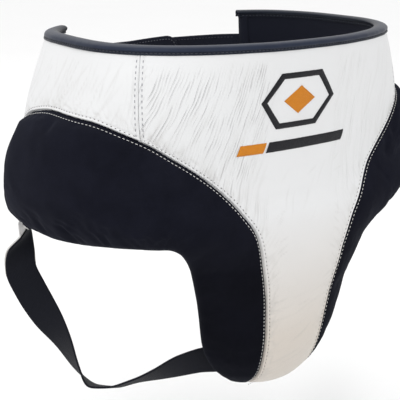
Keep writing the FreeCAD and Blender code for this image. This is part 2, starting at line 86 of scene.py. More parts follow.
# Edges as (angle from the middle of the front, drop), in degrees and millimetres.
DARK_SEAM = [(113, 90), (110, 77), (103, 66), (93, 61), (79, 63.5), (SIDE_SEAM, SEAM_FOOT),
             (56, 97), (45.4, 119.5), (34.6, 145), (27.5, 169), (24.3, 199), (21.2, 238),
             (20, 277), (20.5, 303), (24, 328)]
LEG_EDGE = [(114, 177), (106, 180), (96, 181), (84, 177), (74, 173.5), (65, 172.5),
            (58.5, 172.5), (55, 179), (54.2, 192), (54, 208), (54, 228), (54.2, 250),
            (54.6, 277), (51.5, 303), (36, 330)]
SIDE_KEY = 5
BELLY_KEYS = DARK_SEAM[SIDE_KEY:]
REAR_KEYS = DARK_SEAM[:SIDE_KEY + 1]
BELT_EDGE = [(0, 139), (29, 139), (43, 156), (56, 170.5), (66, 170.5), (76, 172), (90, 178),
             (103, 178), (113, 174), (118, 135), (121, 96), (128, 96), (135, 96)]
# The tongue's padding: drop and half angle.
TONGUE_EDGE = [(139.5, 29), (158, 42), (178, 52.5), (204, 52.8), (240, 52.8), (280, 53),
               (303, 49), (329, 33)]
BOTH_SIDES = (("left", 1), ("right", -1))


def ease(low, high, value):
    """Smooth step from 0 at low to 1 at high."""
    share = np.clip((np.asarray(value, float) - low) / (high - low), 0, 1)
    return share * share * (3 - 2 * share)


def bell(value, middle, width):
    """Smooth bump of height 1."""
    return np.exp(-((np.asarray(value, float) - middle) / width) ** 2)


def unit(vectors):
    """Vectors scaled to length 1."""
    return vectors / np.maximum(np.linalg.norm(vectors, axis=-1, keepdims=True), 1e-9)


def lengths(line):
    """Distance along a line of points at each of them."""
    return np.concatenate([[0], np.cumsum(np.linalg.norm(np.diff(line, axis=0), axis=1))])


def smooth_slopes(places, values):
    """Slopes of the monotone cubic through the given values."""
    steps = np.diff(values) / np.diff(places)
    slopes = np.zeros(len(values))
    slopes[0], slopes[-1] = steps[0], steps[-1]
    product = steps[:-1] * steps[1:]
    total = np.where(product > 0, steps[:-1] + steps[1:], 1.0)
    slopes[1:-1] = np.where(product > 0, 2 * product / total, 0.0)
    return slopes


def smooth_value(places, values, at):
    """Monotone cubic through the given values, at any array of places."""
    places, values = np.asarray(places, float), np.asarray(values, float)
    at = np.clip(np.asarray(at, float), places[0], places[-1])
    slopes = smooth_slopes(places, values)
    span = np.clip(np.searchsorted(places, at, side="right") - 1, 0, len(places) - 2)
    width = places[span + 1] - places[span]
    share = (at - places[span]) / width
    rest = 1 - share
    return (values[span] * (1 + 2 * share) * rest ** 2
            + values[span + 1] * (3 - 2 * share) * share ** 2
            + slopes[span] * width * share * rest ** 2
            - slopes[span + 1] * width * rest * share ** 2)


def keyed(keys, at):
    """Smooth second value of a list of pairs, where the first value is at."""
    return smooth_value([key[0] for key in keys], [key[1] for key in keys], at)


def radius(angle, drop):
    """Distance from the middle line to the form, found by halving an interval."""
    half, front, middle, back, front_power = (
        smooth_value(SECTIONS[:, 0], SECTIONS[:, k], drop) for k in range(1, 6))
    sine = np.abs(np.sin(np.radians(angle)))
    cosine = np.cos(np.radians(angle))
    low = np.zeros(np.shape(half + sine))
    high = low + 400.0
    for _ in range(30):
        reach = 0.5 * (low + high)
        along = -reach * cosine - middle
        power = np.where(along < 0, front_power, BACK_POWER)
        depth = np.where(along < 0, middle + front, back - middle)
        inside = (reach * sine / half) ** power + (np.abs(along) / depth) ** power < 1
        low = np.where(inside, reach, low)
        high = np.where(inside, high, reach)
    return 0.5 * (low + high)


def skin_point(angle, drop):
    """Points of the outer form."""
    reach = radius(angle, drop)
    turn = np.radians(angle)
    return np.stack([reach * np.sin(turn), -reach * np.cos(turn),
                     -np.asarray(drop, float) + 0 * reach], -1)


def place(angle, drop, depth):
    """Points at a level depth under the form."""
    angle, drop, depth = np.broadcast_arrays(angle, drop, depth)
    along = skin_point(angle + 0.5, drop) - skin_point(angle - 0.5, drop)
    inward = unit(np.stack([-along[..., 1], along[..., 0], 0 * along[..., 0]], -1))
    return skin_point(angle, drop) + inward * depth[..., None]


def padding(drop):
    """Thickness between skins and lining."""
    belt = RIM_PAD + (BELT_PAD - RIM_PAD) * ease(8, 40, drop)
    return belt + (CUP_PAD - BELT_PAD) * ease(110, 185, drop)


def lining_depth(drop):
    """Depth of the lining's inner face."""
    return CORE + padding(drop) + GAP + LINING


def edge_at(keys, share):
    """(angle, drop) along an edge given by a few points, at shares of its length."""
    counts = np.arange(len(keys))
    spot = np.clip(share, 0, 1) * (len(keys) - 1)
    return tuple(smooth_value(counts, [key[k] for key in keys], spot) for k in (0, 1))


# ---------------------------------------------------------------- noise and creases

def noise(seed, x, y):
    """Smooth noise from -1 to 1 over unit cells."""
    table = np.random.default_rng(seed).uniform(-1, 1, (64, 64))
    i, j = np.floor(x).astype(int), np.floor(y).astype(int)
    fx, fy = x - i, y - j
    fx, fy = fx * fx * (3 - 2 * fx), fy * fy * (3 - 2 * fy)
    low = table[i % 64, j % 64] * (1 - fx) + table[(i + 1) % 64, j % 64] * fx
    high = table[i % 64, (j + 1) % 64] * (1 - fx) + table[(i + 1) % 64, (j + 1) % 64] * fx
    return low * (1 - fy) + high * fy


def turned(x, y, lean):
    """Distances across and along lines that lean from upright by an angle in degrees."""
    sine, cosine = math.sin(math.radians(lean)), math.cos(math.radians(lean))
    return x * cosine + y * sine, y * cosine - x * sine


def creases(seed, x, y, lean, pitch, length, sharp):
    """Crease depth from 0 to 1: fine lines that lean from upright."""
    across, along = turned(x, y, lean)
    warp = noise(seed + 1, along / (0.6 * length), across / (4 * pitch)) * 0.3 * pitch
    field = noise(seed, (across + warp) / pitch, along / length)
    return np.clip(1 - sharp * np.abs(field), 0, 1) ** 1.4


def streaks(seed, x, y, area, count, lean, length, width):
    """Crease depth from 0 to 1: separate, nearly straight creases strewn over an area.

    area is (low x, high x, low y, high y), lean an angle from upright and its spread in
    degrees, length and width the least and greatest in millimetres.
    """
    random = np.random.default_rng(seed)
    total = np.zeros(np.shape(x))
    for _ in range(count):
        middle = random.uniform(area[0], area[1]), random.uniform(area[2], area[3])
        tilt = lean[0] + random.normal() * lean[1]
        reach, thin = random.uniform(*length) / 2, random.uniform(*width)
        bow, strength = random.normal() * 0.0025, random.uniform(0.35, 1.0)
        across, along = turned(x - middle[0], y - middle[1], tilt)
        across = across + bow * along ** 2
        line = np.exp(-(across / thin) ** 2) * np.clip(1 - (along / reach) ** 2, 0, 1)
        total = np.maximum(total, strength * line)
    return total


NEAREST_BATCH = 4000


def nearest(points, line):
    """Distance from each point to a dense line of points, and the place along the line."""
    flat, length = points.reshape(-1, 3), lengths(line)
    far, spot = np.empty(len(flat)), np.empty(len(flat))
    for start in range(0, len(flat), NEAREST_BATCH):
        part = slice(start, start + NEAREST_BATCH)
        gaps = np.linalg.norm(flat[part][:, None] - line[None], axis=2)
        pick = gaps.argmin(1)
        far[part], spot[part] = gaps.min(1), length[pick]
    return far.reshape(points.shape[:-1]), spot.reshape(points.shape[:-1])


# ---------------------------------------------------------------- meshes

def make_mesh(name, points, faces, skin=None, side=1):
    """Object from points in millimetres; side -1 mirrors it to the wearer's right."""
    points = np.asarray(points, float).reshape(-1, 3) * MM
    if side < 0:
        points = points * (-1, 1, 1)
        faces = [face[::-1] for face in faces]
    mesh = bpy.data.meshes.new(name)
    mesh.from_pydata(points.tolist(), [], [list(face) for face in faces])
    mesh.shade_smooth()
    if skin is not None:
        layer = mesh.attributes.new("skin", "FLOAT_VECTOR", "POINT")
        layer.data.foreach_set("vector", np.asarray(skin, np.float32).ravel())
    made = bpy.data.objects.new(name, mesh)
    bpy.context.scene.collection.objects.link(made)
    return made


def grid_faces(rows, columns, start=0, flip=False):
    """Quads of a grid of points stored row by row."""
    number = np.arange(rows * columns).reshape(rows, columns) + start
    quads = np.stack([number[:-1, :-1], number[1:, :-1], number[1:, 1:], number[:-1, 1:]], -1)
    quads = quads.reshape(-1, 4)
    return quads[:, ::-1] if flip else quads


def grid_normals(grid):
    """Unit normals of a grid: outward when rows go down and columns to the wearer's left."""
    down = np.gradient(grid, axis=0)
    over = np.gradient(grid, axis=1)
    return unit(np.cross(down, over))


def shell(name, grid, thick, skin, side=1):
    """Closed skin of even thickness under a grid of points."""
    rows, columns = grid.shape[:2]
    inner = grid - grid_normals(grid) * thick
    count = rows * columns
    number = np.arange(count).reshape(rows, columns)
    loop = np.concatenate([number[0, :-1], number[:-1, -1], number[-1, :0:-1], number[:0:-1, 0]])
    after = np.roll(loop, -1)
    walls = np.stack([loop, after, after + count, loop + count], -1)
    faces = np.concatenate([grid_faces(rows, columns), grid_faces(rows, columns, count, True),
                            walls])
    points = np.concatenate([grid.reshape(-1, 3), inner.reshape(-1, 3)])
    both = np.concatenate([skin.reshape(-1, 3), skin.reshape(-1, 3)])
    return make_mesh(name, points, faces, both, side)


def skin_layer(along, across, shade_mark=0.0):
    """The vector kept at each point: millimetres along and across, and a shade mark that says where
    painted shade goes, such as a crease or the binding's inner side.
    """
    along, across, shade_mark = np.broadcast_arrays(along, across, shade_mark)
    return np.stack([along, across, shade_mark], -1)


def finish_piece(piece, materials, nodes):
    """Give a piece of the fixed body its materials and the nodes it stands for."""
    for material in materials:
        piece.data.materials.append(material)
    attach(piece, "root")
    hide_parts(*nodes)


def paint(piece, chosen):
    """Give the second material to each face whose points are all chosen."""
    index = [int(all(chosen[corner] for corner in face.vertices)) for face in piece.data.polygons]
    piece.data.polygons.foreach_set("material_index", np.array(index, np.int32))


# ---------------------------------------------------------------- materials

class Surface:
    """Principled material fed by procedural nodes."""

    def __init__(self, name, colour, rough, sheen=0.0, specular=0.5):
        self.material = bpy.data.materials.new(name)
        self.material.use_nodes = True
        self.tree = self.material.node_tree
        self.shader = self.tree.nodes["Principled BSDF"]
        self.feed(self.shader, Base_Color=(*colour, 1), Roughness=rough, Sheen_Weight=sheen,
                  Sheen_Roughness=0.45, Specular_IOR_Level=specular)

    def feed(self, made, **inputs):
        """Set a node's inputs to values or links; names spell spaces as _, and _2 is the third."""
        for key, value in inputs.items():
            socket = made.inputs[int(key[1:]) if key[0] == "_" else key.replace("_", " ")]
            if isinstance(value, bpy.types.NodeSocket):
                self.tree.links.new(value, socket)
            else:
                socket.default_value = value
        return made

    def node(self, kind, output=0, settings=(), **inputs):
        """An output of a new node."""
        made = self.tree.nodes.new("ShaderNode" + kind)
        for name, value in settings:
            setattr(made, name, value)
        return self.feed(made, **inputs).outputs[output]

    def metres(self):
        """The piece's own coordinates, in metres."""
        return self.node("TexCoord", "Object")

    def level(self):
        """Height in metres."""
        return self.node("SeparateXYZ", "Z", Vector=self.metres())

    def skin(self):
        """Outputs for the skin layer: along, across and the shade mark for painted shade."""
        kept = self.node("Attribute", "Vector", [("attribute_name", "skin")])
        return self.node("SeparateXYZ", Vector=kept).node.outputs[:]

    def noise(self, scale, detail=3.0, rough=0.55, vector=None):
        """Noise texture of a number of cells to the metre."""
        return self.node("TexNoise", "Fac", Vector=vector or self.metres(), Scale=scale,
                         Detail=detail, Roughness=rough)

    def math(self, operation, first, second=0.0, third=0.0):
        """Math node."""
        return self.node("Math", 0, [("operation", operation)], _0=first, _1=second, _2=third)

    def times(self, first, second, plus=0.0):
        """first times second, plus a third."""
        return self.math("MULTIPLY_ADD", first, second, plus)

    def rise(self, value, low, high):
        """Value from low to high mapped to 0 to 1."""
        return self.node("MapRange", _0=value, _1=low, _2=high)

    def spread(self, value, low, high):
        """Value from 0 to 1 mapped to low to high."""
        return self.times(value, high - low, low)

    def window(self, value, low, before, high, after):
        """1 between two values, fading to 0 over a distance before and a distance after."""
        fall = self.times(self.rise(value, high, high + after), -1.0, 1.0)
        return self.times(self.rise(value, low - before, low), fall)

    def ramp(self, share, first, second, low=0.0, high=1.0):
        """Colour from first to second as the share goes from low to high."""
        made = self.node("ValToRGB", "Color", Fac=share)
        stops = made.node.color_ramp.elements
        stops[0].color, stops[0].position = (*first, 1), low
        stops[1].color, stops[1].position = (*second, 1), high
        return made

    def mix(self, share, first, second, blend="MIX"):
        """Colour mixed of two by a share."""
        return self.node("Mix", 2, [("data_type", "RGBA"), ("blend_type", blend)],
                         _0=share, _6=first, _7=second)

    def bump(self, height, distance, before=None, strength=1.0):
        """Normal bumped by a height of 0 to 1 that stands for a distance in millimetres."""
        made = self.node("Bump", Height=height, Distance=distance * MM, Strength=strength)
        if before:
            self.feed(made.node, Normal=before)
        return made

    def threads(self, place, pitch):
        """Wave of -1 to 1 across threads of a pitch in millimetres."""
        return self.math("SINE", self.times(place, 2 * math.pi / pitch))

    def finish(self, colour, rough, normal):
        """The material, with its colour, roughness and relief fed."""
        self.feed(self.shader, Base_Color=colour, Roughness=rough, Normal=normal)
        return self.material

    def finish_cloth(self, dark, light, height, fuzz, share, rough, depth, nap=None):
        """The material of a cloth with a thread height of 0 to 1 and a fuzz over it."""
        mixed = self.times(fuzz, share, self.times(height, 0.5))
        below = self.bump(fuzz, nap, strength=0.5) if nap else None
        return self.finish(self.ramp(mixed, dark, light), self.spread(fuzz, *rough),
                           self.bump(height, depth, below))


def light_leather():
    """White grained leather with a random worn tone; painted shade makes it darker and warmer low
    down and greyer in its creases and wrinkles.
    """
    made = Surface("white_leather", (0.83, 0.83, 0.83), 0.42, specular=0.45)
    # Painted shade: the leather is painted darker and warmer towards the bottom.
    low = made.rise(made.level(), -0.15, -0.27)
    # Random worn tone, plus painted shade in the creases and puckers from the skin's shade mark.
    wear_and_crease_shade = made.times(made.noise(16, 4), 0.14, made.times(made.skin()[2], 0.5))
    crinkle = leather_crinkle(made)
    tint = made.ramp(low, (0.71, 0.715, 0.722), (0.585, 0.535, 0.48))
    tint = made.mix(wear_and_crease_shade, tint, (0.42, 0.405, 0.385, 1))
    # Painted shade: the fine wrinkles are painted greyer.
    tint = made.mix(made.times(crinkle, 0.13), tint, (0.36, 0.35, 0.335, 1))
    cells = made.node("TexVoronoi", "Distance", [("feature", "DISTANCE_TO_EDGE")],
                      Vector=made.metres(), Scale=900)
    fine = made.noise(420, 4)
    relief = made.bump(made.rise(cells, 0.0, 0.22), 0.045, strength=0.6)
    relief = made.bump(fine, 0.16, relief, 0.5)
    relief = made.bump(made.times(crinkle, -1.0, 1.0), 0.65, relief)
    relief = made.bump(made.noise(90, 2), 0.4, relief, 0.35)
    return made.finish(tint, made.spread(fine, 0.34, 0.5), relief)


def slanted_lines(made, lean, pitch, length):
    """Fine broken parallel wrinkles that lean from upright, 1 in a wrinkle and 0 between."""
    along, across, _ = made.skin()
    sine, cosine = math.sin(math.radians(lean)), math.cos(math.radians(lean))
    over = made.times(across, sine, made.times(along, cosine))
    down = made.times(along, -sine, made.times(across, cosine))

    def stretched(wide):
        spot = made.node("CombineXYZ", X=made.math("DIVIDE", over, wide),
                         Y=made.math("DIVIDE", down, length), Z=lean)
        return made.noise(1.0, 1.0, 0.5, spot)

    phase = made.times(over, 2 * math.pi / pitch, made.times(stretched(6 * pitch), 13.0))
    wave = made.rise(made.math("SINE", phase), 0.35, 1.0)
    return made.times(wave, made.rise(stretched(1.3 * pitch), 0.4, 0.66))


# Wrinkles of the belt's leather: strength, lean, pitch, length, and the part of its length.
BELT_WRINKLES = [(1.0, 17, 2.5, 30, (-160, 8, -66, 26)), (1.0, 12, 2.4, 24, (-220, 20, -180, 6)),
                 (0.5, 3, 3.6, 60, (45, 15, 165, 6))]


def leather_crinkle(made):
    """Fine parallel wrinkles of the stretched leather, on the belt and low on the tongue."""
    along, across, _ = made.skin()
    belt = 0.0
    for strength, lean, pitch, length, part in BELT_WRINKLES:
        lines = made.times(slanted_lines(made, lean, pitch, length), made.window(along, *part))
        belt = made.times(lines, strength, belt)
    belt = made.times(belt, made.window(across, 26, 10, 140, 36))
    low = made.times(slanted_lines(made, 74, 5.0, 46), made.window(across, 225, 14, 318, 8))
    patches = made.rise(made.noise(22, 2), 0.36, 0.6)
    return made.times(made.times(low, 0.3, belt), made.spread(patches, 0.3, 1.0))


def dark_microfibre():
    """Navy-black brushed microfibre with a soft nap, and painted shade that darkens it low down."""
    made = Surface("dark_microfibre", (0.006, 0.0065, 0.011), 0.92, sheen=0.03, specular=0.05)
    made.feed(made.shader, Sheen_Tint=(0.55, 0.6, 0.85, 1))
    cloud, fibre = made.noise(28, 5, 0.65), made.noise(1500, 2)
    tint = made.ramp(cloud, (0.0048, 0.0052, 0.0092), (0.0082, 0.0088, 0.0150), 0.3, 0.72)
    fleck = made.ramp(fibre, (0.78, 0.78, 0.78), (1.35, 1.35, 1.35))
    # Painted shade: darker towards the bottom.
    shade = made.times(made.rise(made.level(), -0.14, -0.21), -0.55, 1.0)
    tint = made.mix(1.0, made.mix(1.0, tint, fleck, "MULTIPLY"), shade, "MULTIPLY")
    return made.finish(tint, made.spread(cloud, 0.85, 0.98),
                       made.bump(fibre, 0.14, made.bump(cloud, 0.5, strength=0.3), 0.6))


def binding_leather():
    """Smooth navy leather with a soft shine, and painted shade on its lower part and inner side."""
    made = Surface("binding_leather", (0.012, 0.015, 0.024), 0.42, specular=0.28)
    made.feed(made.shader, Specular_Tint=(0.72, 0.82, 1.0, 1))
    cloud, grain = made.noise(60, 4), made.noise(700, 3)
    _, drop, inner = made.skin()
    # Painted shade: darker on the lower part and on the inner side, from the skin's shade mark.
    painted_binding_shade = made.math("MAXIMUM", made.times(made.rise(drop, 6.2, 8.0), 0.75), inner)
    tint = made.ramp(cloud, (0.008, 0.011, 0.022), (0.015, 0.020, 0.040))
    return made.finish(made.mix(painted_binding_shade, tint, (0.003, 0.0035, 0.006, 1)),
                       made.spread(grain, 0.34, 0.52),
                       made.bump(grain, 0.10, made.bump(cloud, 0.5, strength=0.4), 0.6))


def lining_cloth():
    """Dark cloth woven of two sets of threads that follow the piece."""
    made = Surface("lining_cloth", (0.004, 0.005, 0.011), 0.85, 0.03, 0.2)
    along, across, _ = made.skin()
    height = made.times(made.times(made.threads(along, 0.9), made.threads(across, 0.9)), 0.5, 0.5)
    return made.finish_cloth((0.004, 0.005, 0.011), (0.010, 0.012, 0.023), height,
                             made.noise(900), 0.6, (0.75, 0.93), 0.08, 0.1)


def elastic_webbing():
    """Black elastic: lengthwise ribs crossed by fine weft rows."""
    made = Surface("elastic_webbing", (0.006, 0.0065, 0.010), 0.72, 0.03, 0.12)
    along, across, _ = made.skin()
    rows = made.times(made.threads(along, 0.9), 0.2, 0.5)
    height = made.times(made.threads(across, 1.5), 0.3, rows)
    return made.finish_cloth((0.003, 0.0034, 0.0058), (0.009, 0.010, 0.016), height,
                             made.noise(800), 0.5, (0.62, 0.85), 0.22, 0.08)


def satin_thread(name, dark, light):
    """Embroidery: close threads laid across each stroke."""
    made = Surface(name, dark, 0.5, 0.02, 0.18)
    height = made.times(made.threads(made.skin()[0], 0.42), 0.5, 0.5)
    return made.finish_cloth(dark, light, height, made.noise(300), 0.5, (0.38, 0.55), 0.12)


def pile(name, dark, light, cells, depth, sheen):
    """Pile of small loops or hooks."""
    made = Surface(name, dark, 0.95, sheen, 0.1)
    tuft = made.node("TexVoronoi", "Distance", Vector=made.metres(), Scale=cells)
    fuzz = made.noise(cells * 0.35, 5, 0.7)
    mixed = made.times(tuft, 0.6, made.times(fuzz, 0.6))
    return made.finish(made.ramp(mixed, dark, light), made.spread(fuzz, 0.85, 1.0),
                       made.bump(tuft, depth, made.bump(fuzz, depth * 2, strength=0.6)))


def sewing_thread(name, colour):
    """Twisted sewing thread."""
    made = Surface(name, colour, 0.6, 0.1, 0.3)
    fuzz = made.noise(1600)
    tint = made.ramp(fuzz, [0.72 * part for part in colour], colour)
    return made.finish(tint, made.spread(fuzz, 0.5, 0.75), made.bump(fuzz, 0.08))


def moulded_plastic():
    """Moulded shell with a fine spark texture."""
    made = Surface("cup_plastic", (0.80, 0.80, 0.77), 0.5, specular=0.45)
    spark = made.noise(1200, 4)
    tint = made.ramp(made.noise(30), (0.76, 0.76, 0.73), (0.83, 0.83, 0.80))
    return made.finish(tint, made.spread(spark, 0.42, 0.6), made.bump(spark, 0.06))


def pale_floor():
    """Matt pale studio floor."""
    made = Surface("pale_floor", (0.93, 0.93, 0.93), 0.9, specular=0.1)
    tint = made.ramp(made.noise(3), (0.92, 0.92, 0.92), (0.94, 0.94, 0.94))
    made.feed(made.shader, Base_Color=tint)
    return made.material


WHITE = light_leather()
MICROFIBRE = dark_microfibre()
BINDING_LEATHER = binding_leather()
LINING_CLOTH = lining_cloth()
WEBBING = elastic_webbing()
STRAP_CLOTH = pile("strap_cloth", (0.006, 0.007, 0.012), (0.018, 0.020, 0.032), 1100, 0.12, 0.08)
LOOP_PILE = pile("loop_pile", (0.008, 0.009, 0.015), (0.026, 0.029, 0.045), 800, 0.2, 0.12)
HOOK_PILE = pile("hook_pile", (0.008, 0.008, 0.010), (0.03, 0.03, 0.035), 620, 0.3, 0.05)
BLACK_SATIN = satin_thread("black_satin", (0.004, 0.004, 0.006), (0.014, 0.014, 0.018))
ORANGE_SATIN = satin_thread("orange_satin", (0.48, 0.15, 0.006), (0.74, 0.27, 0.016))
WHITE_THREAD = sewing_thread("white_thread", (0.82, 0.81, 0.78))
DARK_THREAD = sewing_thread("dark_thread", (0.045, 0.048, 0.065))
STRAP_THREAD = sewing_thread("strap_thread", (0.13, 0.135, 0.16))
GREY_THREAD = sewing_thread("grey_thread", (0.30, 0.30, 0.33))
# Painted shade: the stitches on the white leather are dark grey to stand for shaded needle holes.
HOLE_SHADE_THREAD = sewing_thread("painted_hole_shade", (0.16, 0.15, 0.145))
CUP_PLASTIC = moulded_plastic()

# ---------------------------------------------------------------- rolled edges

LIP_STEPS = np.linspace(0, math.pi, 15)[1:]
HEM_STEPS = np.array([0.35, 0.7, 1.0])
LIP_COUNT = len(LIP_STEPS) + len(HEM_STEPS)
HEM = 7.0
LIP = 8.5
HEM_LIFT = 0.8
COVER_THICK = 1.2


def hem_depth(drop):
    """Depth of a turned hem: on the lining, and under its end at the tongue's tip."""
    return lining_depth(drop) + HEM_LIFT - 4.5 * ease(300, 314, drop)


def lip_turn(flat):
    """Reach (shares of LIP) and share of the way to the lining, past a number of flat points."""
    reach = np.concatenate([np.zeros(flat), np.sin(LIP_STEPS), -HEM_STEPS * HEM / LIP])
    inward = np.concatenate([np.zeros(flat), (1 - np.cos(LIP_STEPS)) / 2, np.ones(len(HEM_STEPS))])
    return reach, inward


def corner_limit(rows, columns):
    """Share that keeps a corner of two rolled edges within one lip's reach."""
    return 1 / np.maximum(1, np.hypot(np.maximum(rows, 0)[:, None], np.maximum(columns, 0)))


def seam_roll(distance):
    """Depth that a padded skin sinks by beside a seam."""
    return 2.2 * bell(distance, 0, 1.0)


# ---------------------------------------------------------------- dark hip covers

SEAM_ROWS = np.array([0, 0.35, 0.75, 1.2, 1.7, 2.2, 2.7, 3.2, 3.9, 4.8, 6.0])
HIP_ROWS = 46
HIP_COLUMNS = 250
END_SPAN = 27.0
HIP_LENGTH = 380.0
PUFF_ROWS, PUFF_COLUMNS = 27, 101
PUFF_REACH = 0.97
PUFF_CAP = 4.0
PUFF_FRAMES = 20


def hip_swell(across, along):
    """How far the dark skin stands out of the form."""
    pillow = 1 - np.abs(2 * np.clip(across, 0, 1) - 1) ** 3.5
    return HIP_RISE * pillow * ease(-0.03, 0.14, along) * (1 - 0.85 * ease(0.36, 0.6, along))


def on_hip(along, across):
    """(angle, drop) at a share along the hip cover and a share down from its upper seam."""
    a, b = edge_at(DARK_SEAM, along), edge_at(LEG_EDGE, along)
    return a[0] + (b[0] - a[0]) * across, a[1] + (b[1] - a[1]) * across


def hip_width(along):
    """Length over the form from the hip cover's upper seam to its lower edge."""
    line = skin_point(*on_hip(along, np.linspace(0, 1, 13)[:, None]))
    return np.linalg.norm(np.diff(line, axis=0), axis=2).sum(0)


def hip_places():
    """Angle, drop, share inward, across and along of each point of a hip cover's grid."""
    end_reach = 1 - (LIP / END_SPAN) / (len(DARK_SEAM) - 1)
    along = np.concatenate([np.linspace(0, end_reach, HIP_COLUMNS), np.full(LIP_COUNT, end_reach)])
    end_turn, end_inward = lip_turn(HIP_COLUMNS)
    edge_turn, edge_inward = lip_turn(len(SEAM_ROWS) + HIP_ROWS)
    length = hip_width(along)
    start = np.repeat(SEAM_ROWS[:, None], len(along), 1)
    share = np.linspace(0, 1, HIP_ROWS + 1)[1:, None]
    middle = SEAM_ROWS[-1] + share * (length - LIP - SEAM_ROWS[-1])[None]
    tail = np.repeat((length - LIP)[None], LIP_COUNT, 0)
    limit = corner_limit(edge_turn, end_turn)
    walked = np.concatenate([start, middle, tail]) + LIP * edge_turn[:, None] * limit
    along = along[None] + (1 - end_reach) * end_turn[None] * limit
    across = walked / length[None]
    angle, drop = on_hip(along, across)
    deep = 1 - (1 - edge_inward[:, None]) * (1 - end_inward[None])
    return angle, drop, deep, across, along, walked


def hip_depth(across, along, walked):
    """Depth of the dark skin, sunk at its seams and at the stitches beside them."""
    sunk = np.maximum(seam_roll(walked), seam_roll(along * HIP_LENGTH))
    dimple = 0.5 * bell(walked, 2.3, 0.7)
    return sunk + dimple - hip_swell(across, along) * ease(-0.2, 2.2, walked)


def pressed(grid, pinned, pressure, cap, slack):
    """How far each point of a coarse sheet moves when it is filled, from a cloth simulation.

    The sheet is cut a little larger than the form, held where it is sewn, and blown out by
    the padding under it.
    """
    rows, columns = grid.shape[:2]
    helper = make_mesh("filling", grid, grid_faces(rows, columns))
    group = helper.vertex_groups.new(name="sewn")
    group.add(np.flatnonzero(pinned.ravel()).tolist(), 1.0, "REPLACE")
    cloth = helper.modifiers.new("filling", "CLOTH")
    cloth.settings.effector_weights.gravity = 0
    for name, value in (("quality", 6), ("mass", 0.3), ("tension_stiffness", 12),
                        ("compression_stiffness", 12), ("shear_stiffness", 6),
                        ("bending_stiffness", 0.6), ("shrink_min", -slack),
                        ("use_pressure", True), ("uniform_pressure_force", pressure),
                        ("vertex_group_mass", "sewn")):
        setattr(cloth.settings, name, value)
    cloth.point_cache.frame_start, cloth.point_cache.frame_end = 1, PUFF_FRAMES
    for count in range(1, PUFF_FRAMES + 1):
        bpy.context.scene.frame_set(count)
    solved = helper.evaluated_get(bpy.context.evaluated_depsgraph_get())
    found = np.empty(rows * columns * 3)
    solved.data.vertices.foreach_get("co", found)
    bpy.context.scene.frame_set(1)
    bpy.data.objects.remove(helper)
    moved = found.reshape(rows, columns, 3) / MM - grid
    far = np.linalg.norm(moved, axis=-1, keepdims=True)
    return moved * np.minimum(1, cap / np.maximum(far, 1e-6))


def spread_grid(coarse, row_spot, column_spot):
    """Values of a coarse grid at fractional rows and columns, smoothly between its points."""
    def weights(spot, count):
        low = np.clip(np.floor(spot).astype(int), 0, count - 2)
        share = np.clip(spot - low, 0, 1)[..., None]
        near = [np.clip(low + k, 0, count - 1) for k in (-1, 0, 1, 2)]
        factor = [(-share ** 3 + 2 * share ** 2 - share) / 2,
                  (3 * share ** 3 - 5 * share ** 2 + 2) / 2,
                  (-3 * share ** 3 + 4 * share ** 2 + share) / 2, (share ** 3 - share ** 2) / 2]
        return near, factor

    rows, row_factors = weights(row_spot, coarse.shape[0])
    columns, column_factors = weights(column_spot, coarse.shape[1])
    total = 0
    for row, row_factor in zip(rows, row_factors):
        for column, column_factor in zip(columns, column_factors):
            total = total + coarse[row, column] * row_factor * column_factor
    return total


def hip_puff():
    """Displacement of the hip pad's skin from a cloth simulation, on a coarse grid."""
    across = np.linspace(0, 1, PUFF_ROWS)[:, None] + np.zeros(PUFF_COLUMNS)
    along = np.linspace(0, PUFF_REACH, PUFF_COLUMNS)[None] + 0 * across
    grid = place(*on_hip(along, across), -hip_swell(across, along))
    pinned = np.zeros(across.shape, bool)
    pinned[0] = pinned[-2:] = pinned[:, 0] = pinned[:, -1] = True
    moved = pressed(grid[:, ::-1], pinned[:, ::-1], 4.0, PUFF_CAP, 0.035)[:, ::-1]
    return moved * (1 - 0.85 * ease(0.34, 0.56, along))[..., None]


HIP_PUFF = hip_puff()


def hip_shift(across, along, walked):
    """Displacement of the hip cover's skin, none at its seams."""
    if HIP_PUFF is None:
        return np.zeros(np.shape(across + along) + (3,))
    moved = spread_grid(HIP_PUFF, across * (PUFF_ROWS - 1), along / PUFF_REACH * (PUFF_COLUMNS - 1))
    return moved * (ease(0.5, 9, walked) * ease(0, 12, along * HIP_LENGTH))[..., None]


def hip_cover(name, side, seed):
    """Padded dark microfibre over the hip and down the side of the tongue."""
    angle, drop, deep, across, along, walked = hip_places()
    soft = 0.5 * noise(seed, along * 26, across * 4)
    soft += 0.25 * noise(seed + 5, along * 60, across * 9)
    outer = hip_depth(across, along, walked) - soft * ease(3, 14, walked)
    grid = place(angle, drop, outer + (hem_depth(drop) - outer) * deep)
    grid = grid + hip_shift(across, along, walked) * (1 - deep)[..., None]
    skin = skin_layer(along * HIP_LENGTH, walked)
    piece = shell(name, grid[:, ::-1], COVER_THICK, skin[:, ::-1], side)
    finish_piece(piece, [MICROFIBRE], (name, name.replace("cover", "foam")))


# ---------------------------------------------------------------- white covers

DARK_ROW = 3.4
SIDE_ROW = 2.7


def arc_of(angle, drop):
    """Millimetres round the body from the middle of the front."""
    return np.radians(angle) * radius(45 + 0 * angle, drop)


def side_angle(drop):
    """Angle of the side seam at a drop."""
    return SIDE_SEAM + SEAM_LEAN * (SEAM_TURN - np.minimum(drop, SEAM_FOOT))


def seam_lines(keys):
    """Dense points along an edge of the form, on the wearer's left and then on the right."""
    angle, drop = edge_at(keys, np.linspace(0, 1, 700))
    return np.concatenate([skin_point(angle, drop), skin_point(-angle, drop)])


DARK_LINES = seam_lines(DARK_SEAM)
SIDE_LINES = seam_lines([(side_angle(0.0), 0), (side_angle(78.0), 78.0)])

